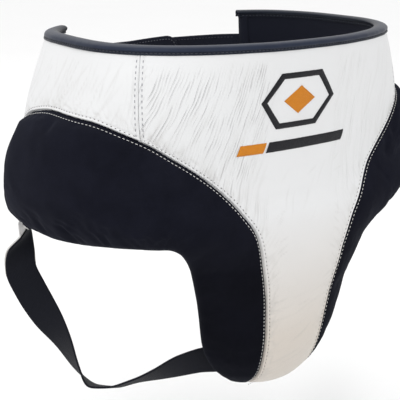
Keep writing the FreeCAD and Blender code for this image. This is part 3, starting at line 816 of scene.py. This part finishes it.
# Creases of the white leather: strength, area (arc and drop), count, lean, length and width.
BELT_STREAKS = [
    (0.8, (-150, -52, 18, 150), 44, (22, 4), (26, 60), (0.5, 1.1)),
    (0.9, (-232, -172, 18, 95), 44, (14, 7), (16, 44), (0.35, 0.8)),
    (0.8, (-350, -225, 14, 90), 50, (0, 14), (16, 44), (0.4, 0.9)),
    (0.55, (35, 168, 16, 120), 60, (4, 9), (24, 60), (0.6, 1.3)),
    (0.8, (172, 350, 14, 90), 80, (0, 14), (16, 44), (0.4, 0.9)),
    (0.7, (-70, 60, 105, 170), 16, (40, 16), (14, 34), (0.5, 1.0))]
TONGUE_STREAKS = [
    (1.0, (-45, 45, 215, 312), 26, (74, 8), (14, 46), (0.5, 1.1)),
    (1.0, (-48, -34, 150, 310), 34, (52, 14), (8, 15), (0.4, 0.8)),
    (1.0, (34, 48, 150, 310), 30, (-52, 14), (8, 15), (0.4, 0.8))]


def strewn(seed, arc, drop, table):
    """The deepest of several sets of creases at each point."""
    deepest = 0 * arc
    for number, (strength, *rest) in enumerate(table):
        deepest = np.maximum(deepest, strength * streaks(seed + number, arc, drop, *rest))
    return deepest


def white_relief(points, angle, drop, seed):
    """(height, crease shade mark) of the white leather: folded seams, puckers and creases; painted
    shade goes where the mark is.
    """
    far, spot = nearest(points, DARK_LINES)
    side_far, side_spot = nearest(points, SIDE_LINES)
    height = -2.4 * bell(far, 0, 1.0) + 0.5 * bell(far, 1.9, 1.0) - 0.5 * bell(far, DARK_ROW, 0.7)
    height -= 0.45 * bell(side_far, 0, 0.4) + 0.35 * bell(side_far, SIDE_ROW, 0.6)
    height += 0.3 * bell(side_far, 1.4, 0.7)
    pucker = creases(seed + 40, spot + 0.6 * far, far, 0, 3.4, 16.0, 3.0)
    pucker = pucker * np.exp(-np.maximum(far - DARK_ROW, 0) / 7.0) * ease(2.5, 5, far)
    side_pucker = creases(seed + 60, side_spot, side_far, 0, 3.2, 9.0, 3.0)
    side_pull = np.exp(-np.maximum(side_far - SIDE_ROW, 0) / 3.0) * ease(2.0, 4.0, side_far)
    side_pucker = side_pucker * side_pull
    arc = arc_of(angle, drop)
    badge_clear = 1 - ease(52, 38, np.abs(arc + 14)) * (1 - ease(98, 108, drop))
    lines = strewn(seed, arc, drop, BELT_STREAKS) * badge_clear
    lines = lines * ease(12, 24, drop) * (1 - ease(140, 175, drop))
    low = strewn(seed + 50, arc, drop, TONGUE_STREAKS)
    # Shade mark: the creases and puckers, where painted shade goes.
    shade_mark = np.clip(0.6 * lines + 0.55 * low + 0.9 * pucker + 0.5 * side_pucker, 0, 1)
    height -= 0.3 * lines + 0.25 * low + 0.42 * pucker + 0.2 * side_pucker
    height += 0.5 * noise(seed + 70, arc / 30, drop / 26) * badge_clear
    height -= 1.9 * bell(drop, 140, 8.5) * ease(85, 40, np.abs(arc)) * ease(3, 12, far)
    return height, shade_mark


def white_skin(name, angle, drop, deep, seed, side=1, tucked=0.0):
    """White cover with its relief; deep is the share of the way round to its hem."""
    height, shade_mark = white_relief(skin_point(side * angle, drop), side * angle, drop, seed)
    grid = place(angle, drop, -height + (hem_depth(drop) + height) * deep + tucked)
    skin = skin_layer(arc_of(angle, drop), drop, shade_mark * (1 - deep))
    return shell(name, grid, COVER_THICK, skin, side)


FRONT_ROWS = 235
FRONT_COLUMNS = 241
FRONT_SEED = 100
EDGE_CROWD = 0.36
TONGUE_END = 328.0
FRONT_TOP = 6.5


def front_cover():
    """White leather from side seam to side seam, narrowing into the tongue."""
    low = TONGUE_END - LIP
    reach, deep = lip_turn(FRONT_ROWS)
    drops = np.append(np.linspace(FRONT_TOP, low, FRONT_ROWS), np.full(LIP_COUNT, low))
    drops = drops + LIP * reach
    half = np.where(drops < SEAM_FOOT, side_angle(drops),
                    keyed([key[::-1] for key in BELLY_KEYS], drops))
    even = np.linspace(-1, 1, FRONT_COLUMNS)
    angle = half[:, None] * (even * (1 + EDGE_CROWD * (1 - even ** 2)))
    drop = np.repeat(drops[:, None], FRONT_COLUMNS, 1)
    piece = white_skin("front_cover", angle, drop, deep[:, None], FRONT_SEED)
    finish_piece(piece, [WHITE], ("front_cover",))


BELT_ROWS = 66
BELT_COLUMNS = 175
WING_LOW = [(SIDE_SEAM - 0.3, 77.6), (79, 63.5), (93, 61), (103, 66), (110, 77), (113, 90),
            (118, 95.5), (122, WING_DROP), (WING_END, WING_DROP)]
WING_LIP = 5.0


def crowded(count, amount):
    """Shares from 0 to 1 that crowd towards both ends."""
    even = np.linspace(0, 1, count)
    return even - amount * np.sin(2 * np.pi * even)


def belt_cover(name, side, seed):
    """White leather from a side seam round to the wing's end, above the hip pad."""
    scale = np.degrees(WING_LIP / radius(WING_END, 60))
    flat_span = WING_END - WING_SHORT[side] - scale - SIDE_SEAM
    angle = SIDE_SEAM + flat_span * np.append(crowded(BELT_COLUMNS, 0.10), np.ones(LIP_COUNT))
    low = keyed(WING_LOW, angle)
    free = ease(114, 119, angle)
    rows = np.append(crowded(BELT_ROWS, 0.08), np.ones(LIP_COUNT))
    row_turn, row_deep = lip_turn(BELT_ROWS)
    column_turn, column_deep = lip_turn(BELT_COLUMNS)
    limit = corner_limit(row_turn, column_turn)
    drop = FRONT_TOP + rows[:, None] * (low - WING_LIP * free - FRONT_TOP)
    drop = drop + WING_LIP * row_turn[:, None] * limit * free
    lean = (side_angle(drop) - SIDE_SEAM) * (1 - ease(SIDE_SEAM, SIDE_SEAM + 25, angle))
    angle = angle + scale * column_turn * limit + lean
    tucked = 2.6 * row_deep[:, None] * (1 - free)
    deep = 1 - (1 - row_deep[:, None] * free) * (1 - column_deep)
    piece = white_skin(name, angle, drop, deep, seed, side, tucked)
    finish_piece(piece, [WHITE, LINING_CLOTH], (name,))
    inner = np.broadcast_to(column_deep > 0.3, deep.shape).ravel()
    paint(piece, np.concatenate([inner, inner]))


# ---------------------------------------------------------------- lining bodies

def flat_ring(low, count, steps):
    """Round a flat section: place across it, bulge of its rounded sides, share of its depth."""
    flat = np.linspace(low, 1, count)
    turn = np.linspace(0, math.pi, steps + 2)[1:-1]
    across = np.concatenate([flat, np.ones(steps), flat[::-1], np.full(steps, float(low))])
    bulge = np.concatenate([0 * flat, np.sin(turn), 0 * flat, -np.sin(turn)])
    deep = np.concatenate([0 * flat, (1 - np.cos(turn)) / 2, 0 * flat + 1,
                           (1 + np.cos(turn)) / 2])
    return across, bulge, deep


def loops(name, rings, skin, side=1):
    """Closed tube through rings of points, with its ends filled."""
    rows, columns = rings.shape[:2]
    number = np.arange(rows * columns).reshape(rows, columns)
    after = np.roll(number, -1, axis=1)
    quads = np.stack([number[:-1], number[1:], after[1:], after[:-1]], -1).reshape(-1, 4)
    faces = quads.tolist()
    faces += [number[0].tolist(), number[-1][::-1].tolist()]
    piece = make_mesh(name, rings, faces, skin, side)
    edit = bmesh.new()
    edit.from_mesh(piece.data)
    bmesh.ops.remove_doubles(edit, verts=edit.verts, dist=0.00002)
    bmesh.ops.recalc_face_normals(edit, faces=edit.faces)
    edit.to_mesh(piece.data)
    edit.free()
    return piece


BODY_TOP = 5.4
UNDER_SKIN = 2.2
EDGE_ROUND = 5.0


def belt_lining():
    """Padding and inner cloth of the belt as one soft body."""
    angle = np.linspace(WING_SHORT[-1] - 135.2, 135.2 - WING_SHORT[1], 331)
    low = keyed(BELT_EDGE, np.abs(angle)) - 1.0
    outer = np.linspace(0, 1, 34)
    turn = np.linspace(0, math.pi, 11)[1:-1]
    inner = np.linspace(1, 0, 60)
    steps = np.concatenate([outer, np.ones(len(turn)), inner])
    reach = np.concatenate([np.zeros(len(outer)), np.sin(turn), np.zeros(len(inner))])
    deep = np.concatenate([np.zeros(len(outer)), (1 - np.cos(turn)) / 2, np.ones(len(inner))])
    drop = BODY_TOP + steps[None] * (low[:, None] - EDGE_ROUND - BODY_TOP) + EDGE_ROUND * reach
    angle = angle[:, None] + 0 * drop
    soft = 0.5 * noise(7, angle / 9, drop / 24) * deep[None] * ease(14, 26, drop)
    depth = UNDER_SKIN + (lining_depth(drop) + soft - UNDER_SKIN) * deep[None]
    rings = place(angle, drop, depth)
    piece = loops("belt_lining", rings, skin_layer(arc_of(angle, drop), drop))
    finish_piece(piece, [LINING_CLOTH], ("belt_lining", "belt_foam"))


def tongue_lining():
    """Padding and inner cloth of the tongue as one soft body round the cup."""
    turn = np.linspace(0, math.pi / 2, 9)
    flat = np.linspace(TONGUE_EDGE[0][0] - 3, TONGUE_END - 1 - LIP, 90)
    drops = np.concatenate([flat, TONGUE_END - 1 - LIP + LIP * np.sin(turn[1:])])
    thin = np.concatenate([np.ones(len(flat)), np.cos(turn[1:])])[:, None]
    half = keyed(TONGUE_EDGE, drops)
    round_edge = np.degrees(LIP / radius(50 + 0 * drops, drops))
    share, bulge, deep = flat_ring(-1, 71, 11)
    angle = share[None] * (half - round_edge - 0.8)[:, None] + bulge[None] * round_edge[:, None]
    drop = np.repeat(drops[:, None], angle.shape[1], 1)
    hollow = 1.2 * bell(angle, 0, 26) * ease(160, 200, drop) * deep[None]
    middle = (UNDER_SKIN + lining_depth(drop)) / 2
    half_thick = (lining_depth(drop) - UNDER_SKIN) / 2 * thin
    depth = middle + (2 * deep[None] - 1) * half_thick + hollow * thin
    rings = place(angle, drop, depth)
    piece = loops("groin_lining", rings, skin_layer(arc_of(angle, drop), drop))
    finish_piece(piece, [LINING_CLOTH], ("groin_lining", "groin_outer_foam", "groin_inner_foam"))


# ---------------------------------------------------------------- binding

BINDING_COLUMNS = 760
BINDING_THICK = 0.9
BINDING_INNER = CORE + RIM_PAD + 2 * GAP + LINING
STITCH_PITCH = 3.6


def binding_profile():
    """Depth and drop round the folded binding, from its outer lower edge to its inner one."""
    outer = [(-0.15, 9.8), (-0.75, 9.85), (-1.15, 9.5), (-1.3, 9.1), (-1.25, 8.6), (-0.85, 8.0),
             (-1.15, 7.5), (-1.5, 7.0), (-1.72, 6.5), (-1.8, 6.0), (-1.75, 5.5)]
    turn = np.linspace(0, math.pi, 17)[1:-1]
    middle = (BINDING_INNER - 0.5) / 2
    half = middle + 1.75
    top = [(middle - half * math.cos(t), 5.4 - 2.9 * math.sin(t)) for t in turn]
    inner = [(BINDING_INNER - 0.5 - (d + 0.1), drop) for d, drop in outer[::-1]]
    return np.array(outer + top + inner)


def binding_drift(arc):
    """How far the binding strays down as it goes round."""
    return 0.35 * noise(13, arc / 42, 0 * arc)


def top_binding():
    """Dark leather folded over the rim, pulled in at each stitch."""
    profile = binding_profile()
    angle = np.linspace(WING_SHORT[-1] - WING_END - 0.6, WING_END + 0.6 - WING_SHORT[1],
                        BINDING_COLUMNS)
    arc = arc_of(angle, 5.0)
    stitch = 0.5 + 0.5 * np.cos(2 * np.pi * arc / STITCH_PITCH)
    lower = bell(profile[:, 1], 8.0, 0.9) * np.where(profile[:, 0] < 4, 1, -1)
    wave = 0.22 * noise(11, arc / 13, 0 * arc) + 0.12 * noise(12, arc / 5, 0 * arc)
    side = np.clip((4.4 - profile[:, 0]) / 6, -1, 1)
    drop = profile[:, 1][:, None] + binding_drift(arc)[None]
    depth = profile[:, 0][:, None] + 0.45 * lower[:, None] * stitch[None]
    depth = depth - wave[None] * side[:, None] + 0 * drop
    grid = place(angle[None] + 0 * drop, drop, depth)[::-1]
    # Shade mark for painted shade on the binding's inner side.
    inner = 0.8 * ease(3.5, 8, profile[:, 0])[:, None]
    skin = skin_layer(arc[None] + 0 * drop, drop, inner + 0 * drop)[::-1]
    piece = shell("top_binding", grid, BINDING_THICK, skin)
    finish_piece(piece, [BINDING_LEATHER], ("top_binding",))


# ---------------------------------------------------------------- thread

# Stitches: pitch, length, thickness, and how far they stand out.
HOLE_STITCH = (4.0, 1.6, 0.34, 0.1)
DASH_STITCH = (3.75, 2.3, 0.28, 0.2)
TWIN_STITCH = (4.6, 2.6, 0.34, 0.12)
BINDING_STITCH = (STITCH_PITCH, 2.3, 0.34, 0.1)
STRAP_STITCH = (STITCH_PITCH, 2.3, 0.34, 0.15)
DASH_ROW = 2.2


def outward(angle, drop):
    """Level directions straight out of the form."""
    return unit(place(angle, drop, -1.0) - place(angle, drop, 0.0))


def along_line(line, values, spots):
    """Values given at the points of a line, at distances along it."""
    length = lengths(line)
    return np.stack([np.interp(spots, length, values[:, k]) for k in range(3)], -1)


def stitch_run(line, normal, pitch, long, thick, lift):
    """Points and faces of a row of stitches: short threads that dive in at both ends."""
    centres = np.arange(0.5 * pitch, lengths(line)[-1] - 0.5 * long, pitch)
    shares = np.linspace(-0.5, 0.5, 7)
    spots = centres[:, None] + shares[None] * long
    up = unit(along_line(line, normal, spots))
    ahead = along_line(line, line, spots + 0.3) - along_line(line, line, spots - 0.3)
    side = unit(np.cross(ahead, up))
    arch = 1 - (2 * shares) ** 4
    middle = along_line(line, line, spots) + up * (lift + thick * (arch - 1) * 0.9)[:, None]
    girth = (thick * (0.35 + 0.65 * arch))[:, None, None]
    turn = np.linspace(0, 2 * math.pi, 7)[:-1, None]
    ring = middle[:, :, None] + girth * (side[:, :, None] * np.cos(turn)
                                         + up[:, :, None] * np.sin(turn))
    number = np.arange(len(centres) * 42).reshape(-1, 7, 6)
    after = np.roll(number, -1, axis=2)
    quads = np.stack([number[:, :-1], after[:, :-1], after[:, 1:], number[:, 1:]], -1)
    ends = np.concatenate([number[:, 0, ::-1], number[:, -1]])
    return ring.reshape(-1, 3), quads.reshape(-1, 4).tolist() + ends.tolist()


def thread_piece(name, runs, material):
    """One piece from several rows of stitches."""
    points, faces = [], []
    for run_points, run_faces in runs:
        start = sum(len(part) for part in points)
        points.append(run_points)
        faces += [[start + corner for corner in face] for face in run_faces]
    piece = make_mesh(name, np.concatenate(points), faces)
    piece.data.materials.append(material)
    return piece


def beside(keys, distance):
    """(angle, drop) of a line a distance to the left of an edge, over the form."""
    angle, drop = edge_at(keys, np.linspace(0, 1, 700))
    line = skin_point(angle, drop)
    line = line + unit(np.cross(outward(angle, drop), np.gradient(line, axis=0))) * distance
    return np.degrees(np.arctan2(line[:, 0], -line[:, 1])), -line[:, 2]


def on_white(angle, drop, seed, rise=0.0):
    """Points on the white leather, raised a little."""
    height = white_relief(skin_point(angle, drop), angle, drop, seed)[0]
    return place(angle, drop, -height - rise)


def seam_row_dark(distance, low, high):
    """Line and outward directions of stitches on the dark skin beside its seam."""
    along = np.linspace(low, high, 700)
    across = distance / hip_width(along)
    line = place(*on_hip(along, across), hip_depth(across, along, distance))
    line = line + hip_shift(across, along, distance)
    angle = np.degrees(np.arctan2(line[:, 0], -line[:, 1]))
    return line, outward(angle, -line[:, 2])


def seam_threads():
    """Stitches beside the seams of the covers and through the binding."""
    holes, dashes, doubles = [], [], []
    for side, belt_seed in ((1, 200), (-1, 300)):
        for keys, seed in ((BELLY_KEYS, FRONT_SEED), (REAR_KEYS, belt_seed)):
            angle, drop = beside(keys, -DARK_ROW)
            angle = side * angle
            holes.append(stitch_run(on_white(angle, drop, seed), outward(angle, drop),
                                    *HOLE_STITCH))
        line, normal = seam_row_dark(DASH_ROW, 0.004, 0.985)
        dashes.append(stitch_run(line * (side, 1, 1), normal * (side, 1, 1), *DASH_STITCH))
        for shift, seed in ((-SIDE_ROW, FRONT_SEED), (SIDE_ROW, belt_seed)):
            drop = np.linspace(12.5, 76, 160)
            aside = np.degrees(shift / radius(SIDE_SEAM + 0 * drop, drop))
            angle = side * (side_angle(drop) + aside)
            doubles.append(stitch_run(on_white(angle, drop, seed), outward(angle, drop),
                                      *TWIN_STITCH))
    angle = np.linspace(WING_SHORT[-1] - WING_END + 1, WING_END - 1 - WING_SHORT[1], 2400)
    drop = 8.05 + binding_drift(arc_of(angle, 5.0))
    rows = [stitch_run(place(angle, drop, depth), sign * outward(angle, drop), *BINDING_STITCH)
            for depth, sign in ((-0.95, 1), (BINDING_INNER + 0.35, -1))]
    for piece in (thread_piece("seam_dots", holes, HOLE_SHADE_THREAD),
                  thread_piece("seam_dashes", dashes, WHITE_THREAD),
                  thread_piece("side_seam_stitches", doubles, GREY_THREAD),
                  thread_piece("binding_stitches", rows, DARK_THREAD)):
        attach(piece, "root")


# ---------------------------------------------------------------- flat bands

def band(name, line, over, half, thick, material, side=1, round_end=0.0, flat_rows=11):
    """Flat strap with rounded edges round a middle line; over is its width direction.

    It stands for the CAD node of its name, where there is one.
    """
    over = unit(over)
    up = unit(np.cross(over, np.gradient(line, axis=0)))
    length = lengths(line)
    left = length[-1] - length
    near = np.clip(left, 0, round_end)
    width = half - round_end + np.sqrt(np.maximum(round_end ** 2 - (round_end - near) ** 2, 0.01))
    width = width if round_end else np.full(len(line), float(half))
    edge = thick / 2
    taper = np.sqrt(np.clip(1 - (1 - np.clip(np.minimum(left, length) / edge, 0, 1)) ** 2, 0.02, 1))
    across, bulge, deep = flat_ring(-1, flat_rows, 5)
    sideways = across * (width - edge)[:, None] + bulge * edge * taper[:, None]
    rings = (line[:, None] + over[:, None] * sideways[..., None]
             + up[:, None] * ((1 - 2 * deep) * edge * taper[:, None])[..., None])
    skin = skin_layer(length[:, None] + 0 * across, across * width[:, None])
    piece = loops(name, rings, skin, side)
    piece.data.materials.append(material)
    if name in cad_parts:
        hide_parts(name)
    return piece


BOW, ROOT_X, ROOT_Y = 400.0, 109.0, 112.0
BOW_CENTRE = ROOT_Y - math.sqrt(BOW ** 2 - ROOT_X ** 2)
STRAP_MIDDLE, STRAP_HALF = -61.0, 33.0
STRAP_THICK = 2.5
SEWN_IN, SEWN_TURN = 14.0, math.radians(30)
TAPE_LENGTH, TAPE_HALF, TAPE_THICK = 92.0, 29.0, 1.4
UP = (0.0, 0.0, 1.0)


def strap_line(distance, offset, rise, level=STRAP_MIDDLE):
    """Points of a closure strap past the wearer's left hinge line, and their turn round it."""
    offset = 0.6 + (offset - 0.6) * ease(-12, 26, distance)
    turn = np.arcsin((ROOT_X - np.maximum(distance, 0)) / BOW)
    line = np.stack([(BOW + offset) * np.sin(turn), BOW_CENTRE + (BOW + offset) * np.cos(turn),
                     level + rise * ease(50, 150, distance)], -1)
    inside = np.minimum(distance, 0)
    line[:, 0] -= inside * math.cos(SEWN_TURN)
    line[:, 1] += inside * math.sin(SEWN_TURN) + 0.012 * inside ** 2
    return line, turn


def closure_strap(name, side, length, offset, rise):
    """Closure strap from inside the wing's end to its rounded free end."""
    distance = np.linspace(-SEWN_IN, length, 150)
    line = strap_line(distance, offset, rise)[0]
    soft = 0.35 * noise(31 + side, np.linspace(0, 9, 150), np.zeros(150))
    line[:, 1] += soft * ease(8, 30, distance)
    return band(name, line, np.tile(UP, (150, 1)), STRAP_HALF, STRAP_THICK, STRAP_CLOTH,
                side, 14.0, 21)


def closure_rows(side, length, offset, facing, rise):
    """Stitches round the edge of a closure strap, on its inner or outer face."""
    inset, corner = 3.2, 10.8
    end, half = length - inset - corner, STRAP_HALF - inset
    turn = np.linspace(0, math.pi / 2, 12)
    first = np.linspace(4, end, 60)
    ahead = np.concatenate([first, end + corner * np.sin(turn), end + corner * np.cos(turn),
                            first[::-1]])
    curve = half - corner + corner * np.cos(turn)
    level = STRAP_MIDDLE + np.concatenate([0 * first + half, curve, -curve[::-1], 0 * first - half])
    line, turn = strap_line(ahead, offset, rise, level)
    normal = facing * np.stack([np.sin(turn), np.cos(turn), 0 * turn], -1)
    line = line + STRAP_THICK / 2 * normal
    return stitch_run(line * (side, 1, 1), normal * (side, 1, 1), *STRAP_STITCH)


def closures():
    """Both closure straps with their tapes and stitches, curving round past the hinge line; the
    tapes are attached to the closure bodies.
    """
    for body, side, length, offset, rise, tape_name, tape_offset, material, slot, sewing in (
            ("right_closure", -1, 149.0, 1.25, 3.0, "right_loop_pad", 3.25, LOOP_PILE, "loop_tape",
             STRAP_THREAD),
            ("left_closure", 1, 172.0, 7.5, 0.0, "left_hook_pad", 5.5, HOOK_PILE, "hook_tape",
             DARK_THREAD)):
        strap = closure_strap(body + "_strap", side, length, offset, rise)
        start = length - TAPE_LENGTH - 3
        line = strap_line(np.linspace(start, start + TAPE_LENGTH, 80), tape_offset, rise)[0]
        pad = band(tape_name, line, np.tile(UP, (80, 1)), TAPE_HALF, TAPE_THICK, material,
                   side, 6.0, 17)
        rows = [closure_rows(side, length, offset, facing, rise) for facing in (-1, 1)]
        thread = thread_piece(body + "_stitches", rows, sewing)
        for piece in (strap, thread):
            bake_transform(piece)
        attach(pad, body)


# ---------------------------------------------------------------- leg straps, tabs and band

LEG_ROUTE = [
    ((168, 89, -187), (-0.7, 0.7, 0.1)), ((171, 96, -204), (-0.95, 0.0, 0.3)),
    ((171, 97, -223), (-0.8, -0.5, 0.4)), ((166, 89, -244), (-0.8, -0.4, 0.4)),
    ((158, 76, -268), (-0.55, -0.6, 0.55)), ((149, 60, -293), (0.0, -0.85, 0.55)),
    ((144, 45, -316), (0.4, -0.75, 0.5)), ((138, 29, -330), (0.7, -0.6, 0.35)),
    ((126, 16, -330), (0.7, -0.6, 0.4)), ((110, 3, -324), (0.65, -0.6, 0.45)),
    ((92, -11, -317), (0.65, -0.4, 0.6)), ((75, -27, -307), (0.5, -0.2, 0.85)),
    ((58, -37, -303), (0.25, -0.2, 0.95)), ((44, -43, -303), (0.1, -0.15, 1.0))]


def route(count, last=1.0):
    """Middle points and width directions of the wearer's left leg strap."""
    spot = np.linspace(0, last, count) * (len(LEG_ROUTE) - 1)
    keys = np.array([middle + over for middle, over in LEG_ROUTE], float)
    counts = np.arange(len(keys))
    values = np.stack([smooth_value(counts, keys[:, k], spot) for k in range(6)], -1)
    kernel = np.array([1, 2, 3, 2, 1]) / 9
    for _ in range(max(2, count // 40)):
        padded = np.concatenate([2 * values[:1] - values[2:0:-1], values,
                                 2 * values[-1:] - values[-2:-4:-1]])
        values = sum(k * padded[i:i + len(values)] for i, k in enumerate(kernel))
    return values[:, :3], values[:, 3:]


LEG_HALF, LEG_THICK = 15.0, 2.0
TAB_HALF, TAB_THICK, TAB_LIFT = 15.6, 1.6, 1.9
TAB_SHARE = 0.17
TAB_RISE = np.array([-2.0, 0.5, 13.0])
TAB_TURN = np.array([-0.12, -0.1, 0.0])


def leg_straps():
    """Elastic leg straps with the white leather tab that each hangs from."""
    for word, side in BOTH_SIDES:
        line, over = route(170)
        piece = band(word + "_leg_strap", line, over, LEG_HALF, LEG_THICK, WEBBING,
                     side, 0, 15)
        start, end = (Vector(LEG_ROUTE[key][0]) * MM for key in (0, 2))
        start.x, end.x = side * start.x, side * end.x
        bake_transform(piece)
        line, over = route(60, TAB_SHARE)
        up = unit(np.cross(over, np.gradient(line, axis=0)))
        facing = np.sign((up * (line - (0, 60, -200))).sum(-1, keepdims=True).mean())
        rise = np.linspace(1, 0, 12)[:-1, None]
        line = line + up * facing * TAB_LIFT
        line = np.concatenate([line[0] + rise * TAB_RISE, line])
        over = np.concatenate([over[0] + rise * TAB_TURN, over])
        tab = band(word + "_leg_tab", line, over, TAB_HALF, TAB_THICK, WHITE,
                   side)
        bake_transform(tab)


ANCHOR_END, ANCHOR_HANG = 183.5, 15.0
ANCHOR_OUT, ANCHOR_THICK = 1.2, 3.0
ANCHOR_FRONT = [(114.6, 96), (114.8, 138), (115, ANCHOR_END)]
ANCHOR_REAR = [(128, 96), (125, 138), (121.5, ANCHOR_END)]


def strap_anchors():
    """Leather tab behind each hip pad: white outside, dark cloth inside."""
    for word, side in BOTH_SIDES:
        along = np.linspace(0, 1, 60)
        front, rear = edge_at(ANCHOR_FRONT, along), edge_at(ANCHOR_REAR, along)
        across, bulge, deep = flat_ring(0, 17, 5)
        across = across + 0.05 * bulge
        angle = front[0][:, None] + (rear[0] - front[0])[:, None] * across[None]
        drop = front[1][:, None] + (rear[1] - front[1])[:, None] * across[None]
        crown = 0.5 * np.sin(np.pi * np.clip(across, 0, 1)) * (1 - 2 * deep)
        hang = ANCHOR_HANG * ease(150, 183, drop)
        rings = place(angle, drop, -ANCHOR_OUT + ANCHOR_THICK * deep[None] - crown[None] - hang)
        skin = skin_layer(drop, across[None] * 20)
        piece = loops(word + "_strap_anchor", rings, skin, side)
        finish_piece(piece, [WHITE, LINING_CLOTH], (word + "_strap_anchor",))
        faces = piece.data.polygons
        away = np.array([face.normal for face in faces])
        outer = away @ (side * 0.85, 0.5, 0.0) > -0.2
        faces.foreach_set("material_index", np.where(outer, 0, 1).astype(np.int32))


CROTCH_DROP = 300.0


def crotch_band():
    """Webbing band sewn across the tongue's lining."""
    angle = np.linspace(-40, 40, 60)
    depth = lining_depth(CROTCH_DROP) + 1.6
    line = place(angle, CROTCH_DROP, depth)
    over = place(angle, CROTCH_DROP - 8, depth) - place(angle, CROTCH_DROP + 8, depth)
    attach(band("crotch_anchor", line, over, 12.5, 2.0, WEBBING), "root")


# ---------------------------------------------------------------- embroidered badge

BADGE_X, BADGE_DROP = -14.0, 53.0
RING_OUTER, RING_INNER = (41, 24), (34.75, 19)
LOZENGE_HALF, LOZENGE_TALL = 17.2, 12
BAR_TOP, BAR_FOOT, BAR_LEAN = 87.5, 96.5, 1.6
SATIN_BASE, SATIN_RISE, SATIN_THICK = 0.15, 0.75, 0.25


def on_front(x, drop, rise):
    """Points of the white front cover at given X and drop, found by repeated correction."""
    angle = np.degrees(np.arctan2(x, 110.0))
    for _ in range(12):
        angle = np.degrees(np.arcsin(np.clip(x / radius(angle, drop), -1, 1)))
    return on_white(angle, drop, FRONT_SEED, rise)


def satin(name, first, second, across_count, material, rise=SATIN_RISE):
    """Strip of satin stitch between two outlines of matching points (x, drop)."""
    share = np.linspace(0, 1, across_count)[None, :, None]
    flat = first[:, None] * (1 - share) + second[:, None] * share
    crown = np.sin(np.pi * share[..., 0]) ** 0.5
    length = lengths((first + second) / 2)
    ragged = 0.12 * noise(91, length / 0.8, 0 * length)[:, None]
    flat = flat + unit(second - first)[:, None] * (ragged * (2 * share[..., 0] - 1))[..., None]
    grid = on_front(flat[..., 0], flat[..., 1], SATIN_BASE + rise * crown)
    if np.cross(grid[1, 0] - grid[0, 0], grid[0, 1] - grid[0, 0])[1] > 0:
        grid = grid[:, ::-1]
    skin = skin_layer(length[:, None], share[..., 0] * 5 + 0 * length[:, None])
    piece = shell(name, grid, SATIN_THICK, skin)
    finish_piece(piece, [material], (name,))


def outline(corners, count):
    """Dense closed outline through corners."""
    corners = np.array(corners + corners[:1], float)
    spots = np.linspace(0, len(corners) - 1, count)
    return np.stack([np.interp(spots, np.arange(len(corners)), corners[:, k])
                     for k in range(2)], -1)


def badge():
    """Plain badge: a hexagonal outline, a lozenge, and a bar whose first end is an accent."""
    def six(half_wide, half_high):
        return [(BADGE_X + half_wide * x, BADGE_DROP + half_high * y) for x, y in
                ((-1, 0), (-0.55, -1), (0.55, -1), (1, 0), (0.55, 1), (-0.55, 1))]

    satin("emblem_ring", outline(six(*RING_OUTER), 361), outline(six(*RING_INNER), 361), 9,
          BLACK_SATIN)
    rows = np.linspace(0, 1, 90)
    half = LOZENGE_HALF * (1 - np.abs(2 * rows - 1)) + 0.3
    drop = BADGE_DROP + LOZENGE_TALL * (2 * rows - 1)
    satin("emblem_lozenge", np.stack([BADGE_X - half, drop], -1),
          np.stack([BADGE_X + half, drop], -1), 15, ORANGE_SATIN)
    for name, start, end, material in (("emblem_bar_tip", 0, 26, ORANGE_SATIN),
                                       ("emblem_bar", 29, 118, BLACK_SATIN)):
        across = BADGE_X - 59 + np.linspace(start, end, 160)
        satin(name, np.stack([across + BAR_LEAN, 0 * across + BAR_TOP], -1),
              np.stack([across - BAR_LEAN, 0 * across + BAR_FOOT], -1), 9, material, 0.7)


# ---------------------------------------------------------------- stage, light and camera

def make_stage():
    """Pale floor, even white surroundings and three soft lamps."""
    low = CAD_BOX[0].z - 0.09
    bpy.ops.mesh.primitive_plane_add(size=14, location=(0, 0, low))
    floor = bpy.context.object
    floor.name = "studio_floor"
    floor.data.materials.append(pale_floor())
    world = bpy.data.worlds.new("studio")
    world.use_nodes = True
    back = world.node_tree.nodes["Background"]
    back.inputs["Color"].default_value = (1.0, 1.0, 1.0, 1)
    back.inputs["Strength"].default_value = 1.02
    bpy.context.scene.world = world
    bpy.context.scene.view_settings.view_transform = "Standard"
    for name, spot, size, power in (("key", (-1.3, -0.5, 1.3), 1.2, 9),
                                    ("front", (-0.6, -1.8, 0.5), 1.4, 2),
                                    ("rear", (0.3, 1.0, 1.8), 1.8, 8)):
        data = bpy.data.lights.new(name, "AREA")
        data.size = size
        data.energy = power
        lamp = bpy.data.objects.new(name, data)
        lamp.location = spot
        aim = Vector((0, 0, -0.15)) - lamp.location
        lamp.rotation_mode = "QUATERNION"
        lamp.rotation_quaternion = aim.to_track_quat("-Z", "Y")
        bpy.context.scene.collection.objects.link(lamp)


def make_camera():
    """Camera to the wearer's right, a little above the rim."""
    data = bpy.data.cameras.new("camera")
    data.sensor_width = 36
    data.lens = 100.9
    data.clip_start = 0.05
    camera = bpy.data.objects.new("camera", data)
    camera.location = (-0.6678, -0.7847, 0.1137)
    camera.rotation_mode = "QUATERNION"
    camera.rotation_quaternion = Vector((0.607, 0.750, -0.263)).to_track_quat("-Z", "Y")
    bpy.context.scene.collection.objects.link(camera)
    bpy.context.scene.camera = camera


# ---------------------------------------------------------------- build

make_camera()
make_stage()
front_cover()
for word, sign, number in (("left", 1, 200), ("right", -1, 300)):
    belt_cover(word + "_belt_cover", sign, number)
    hip_cover(word + "_hip_cover", sign, number + 50)
belt_lining()
tongue_lining()
top_binding()
strap_anchors()
closures()
leg_straps()
crotch_band()
badge()
seam_threads()
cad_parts["hard_cup"].data.materials.clear()
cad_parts["hard_cup"].data.materials.append(CUP_PLASTIC)
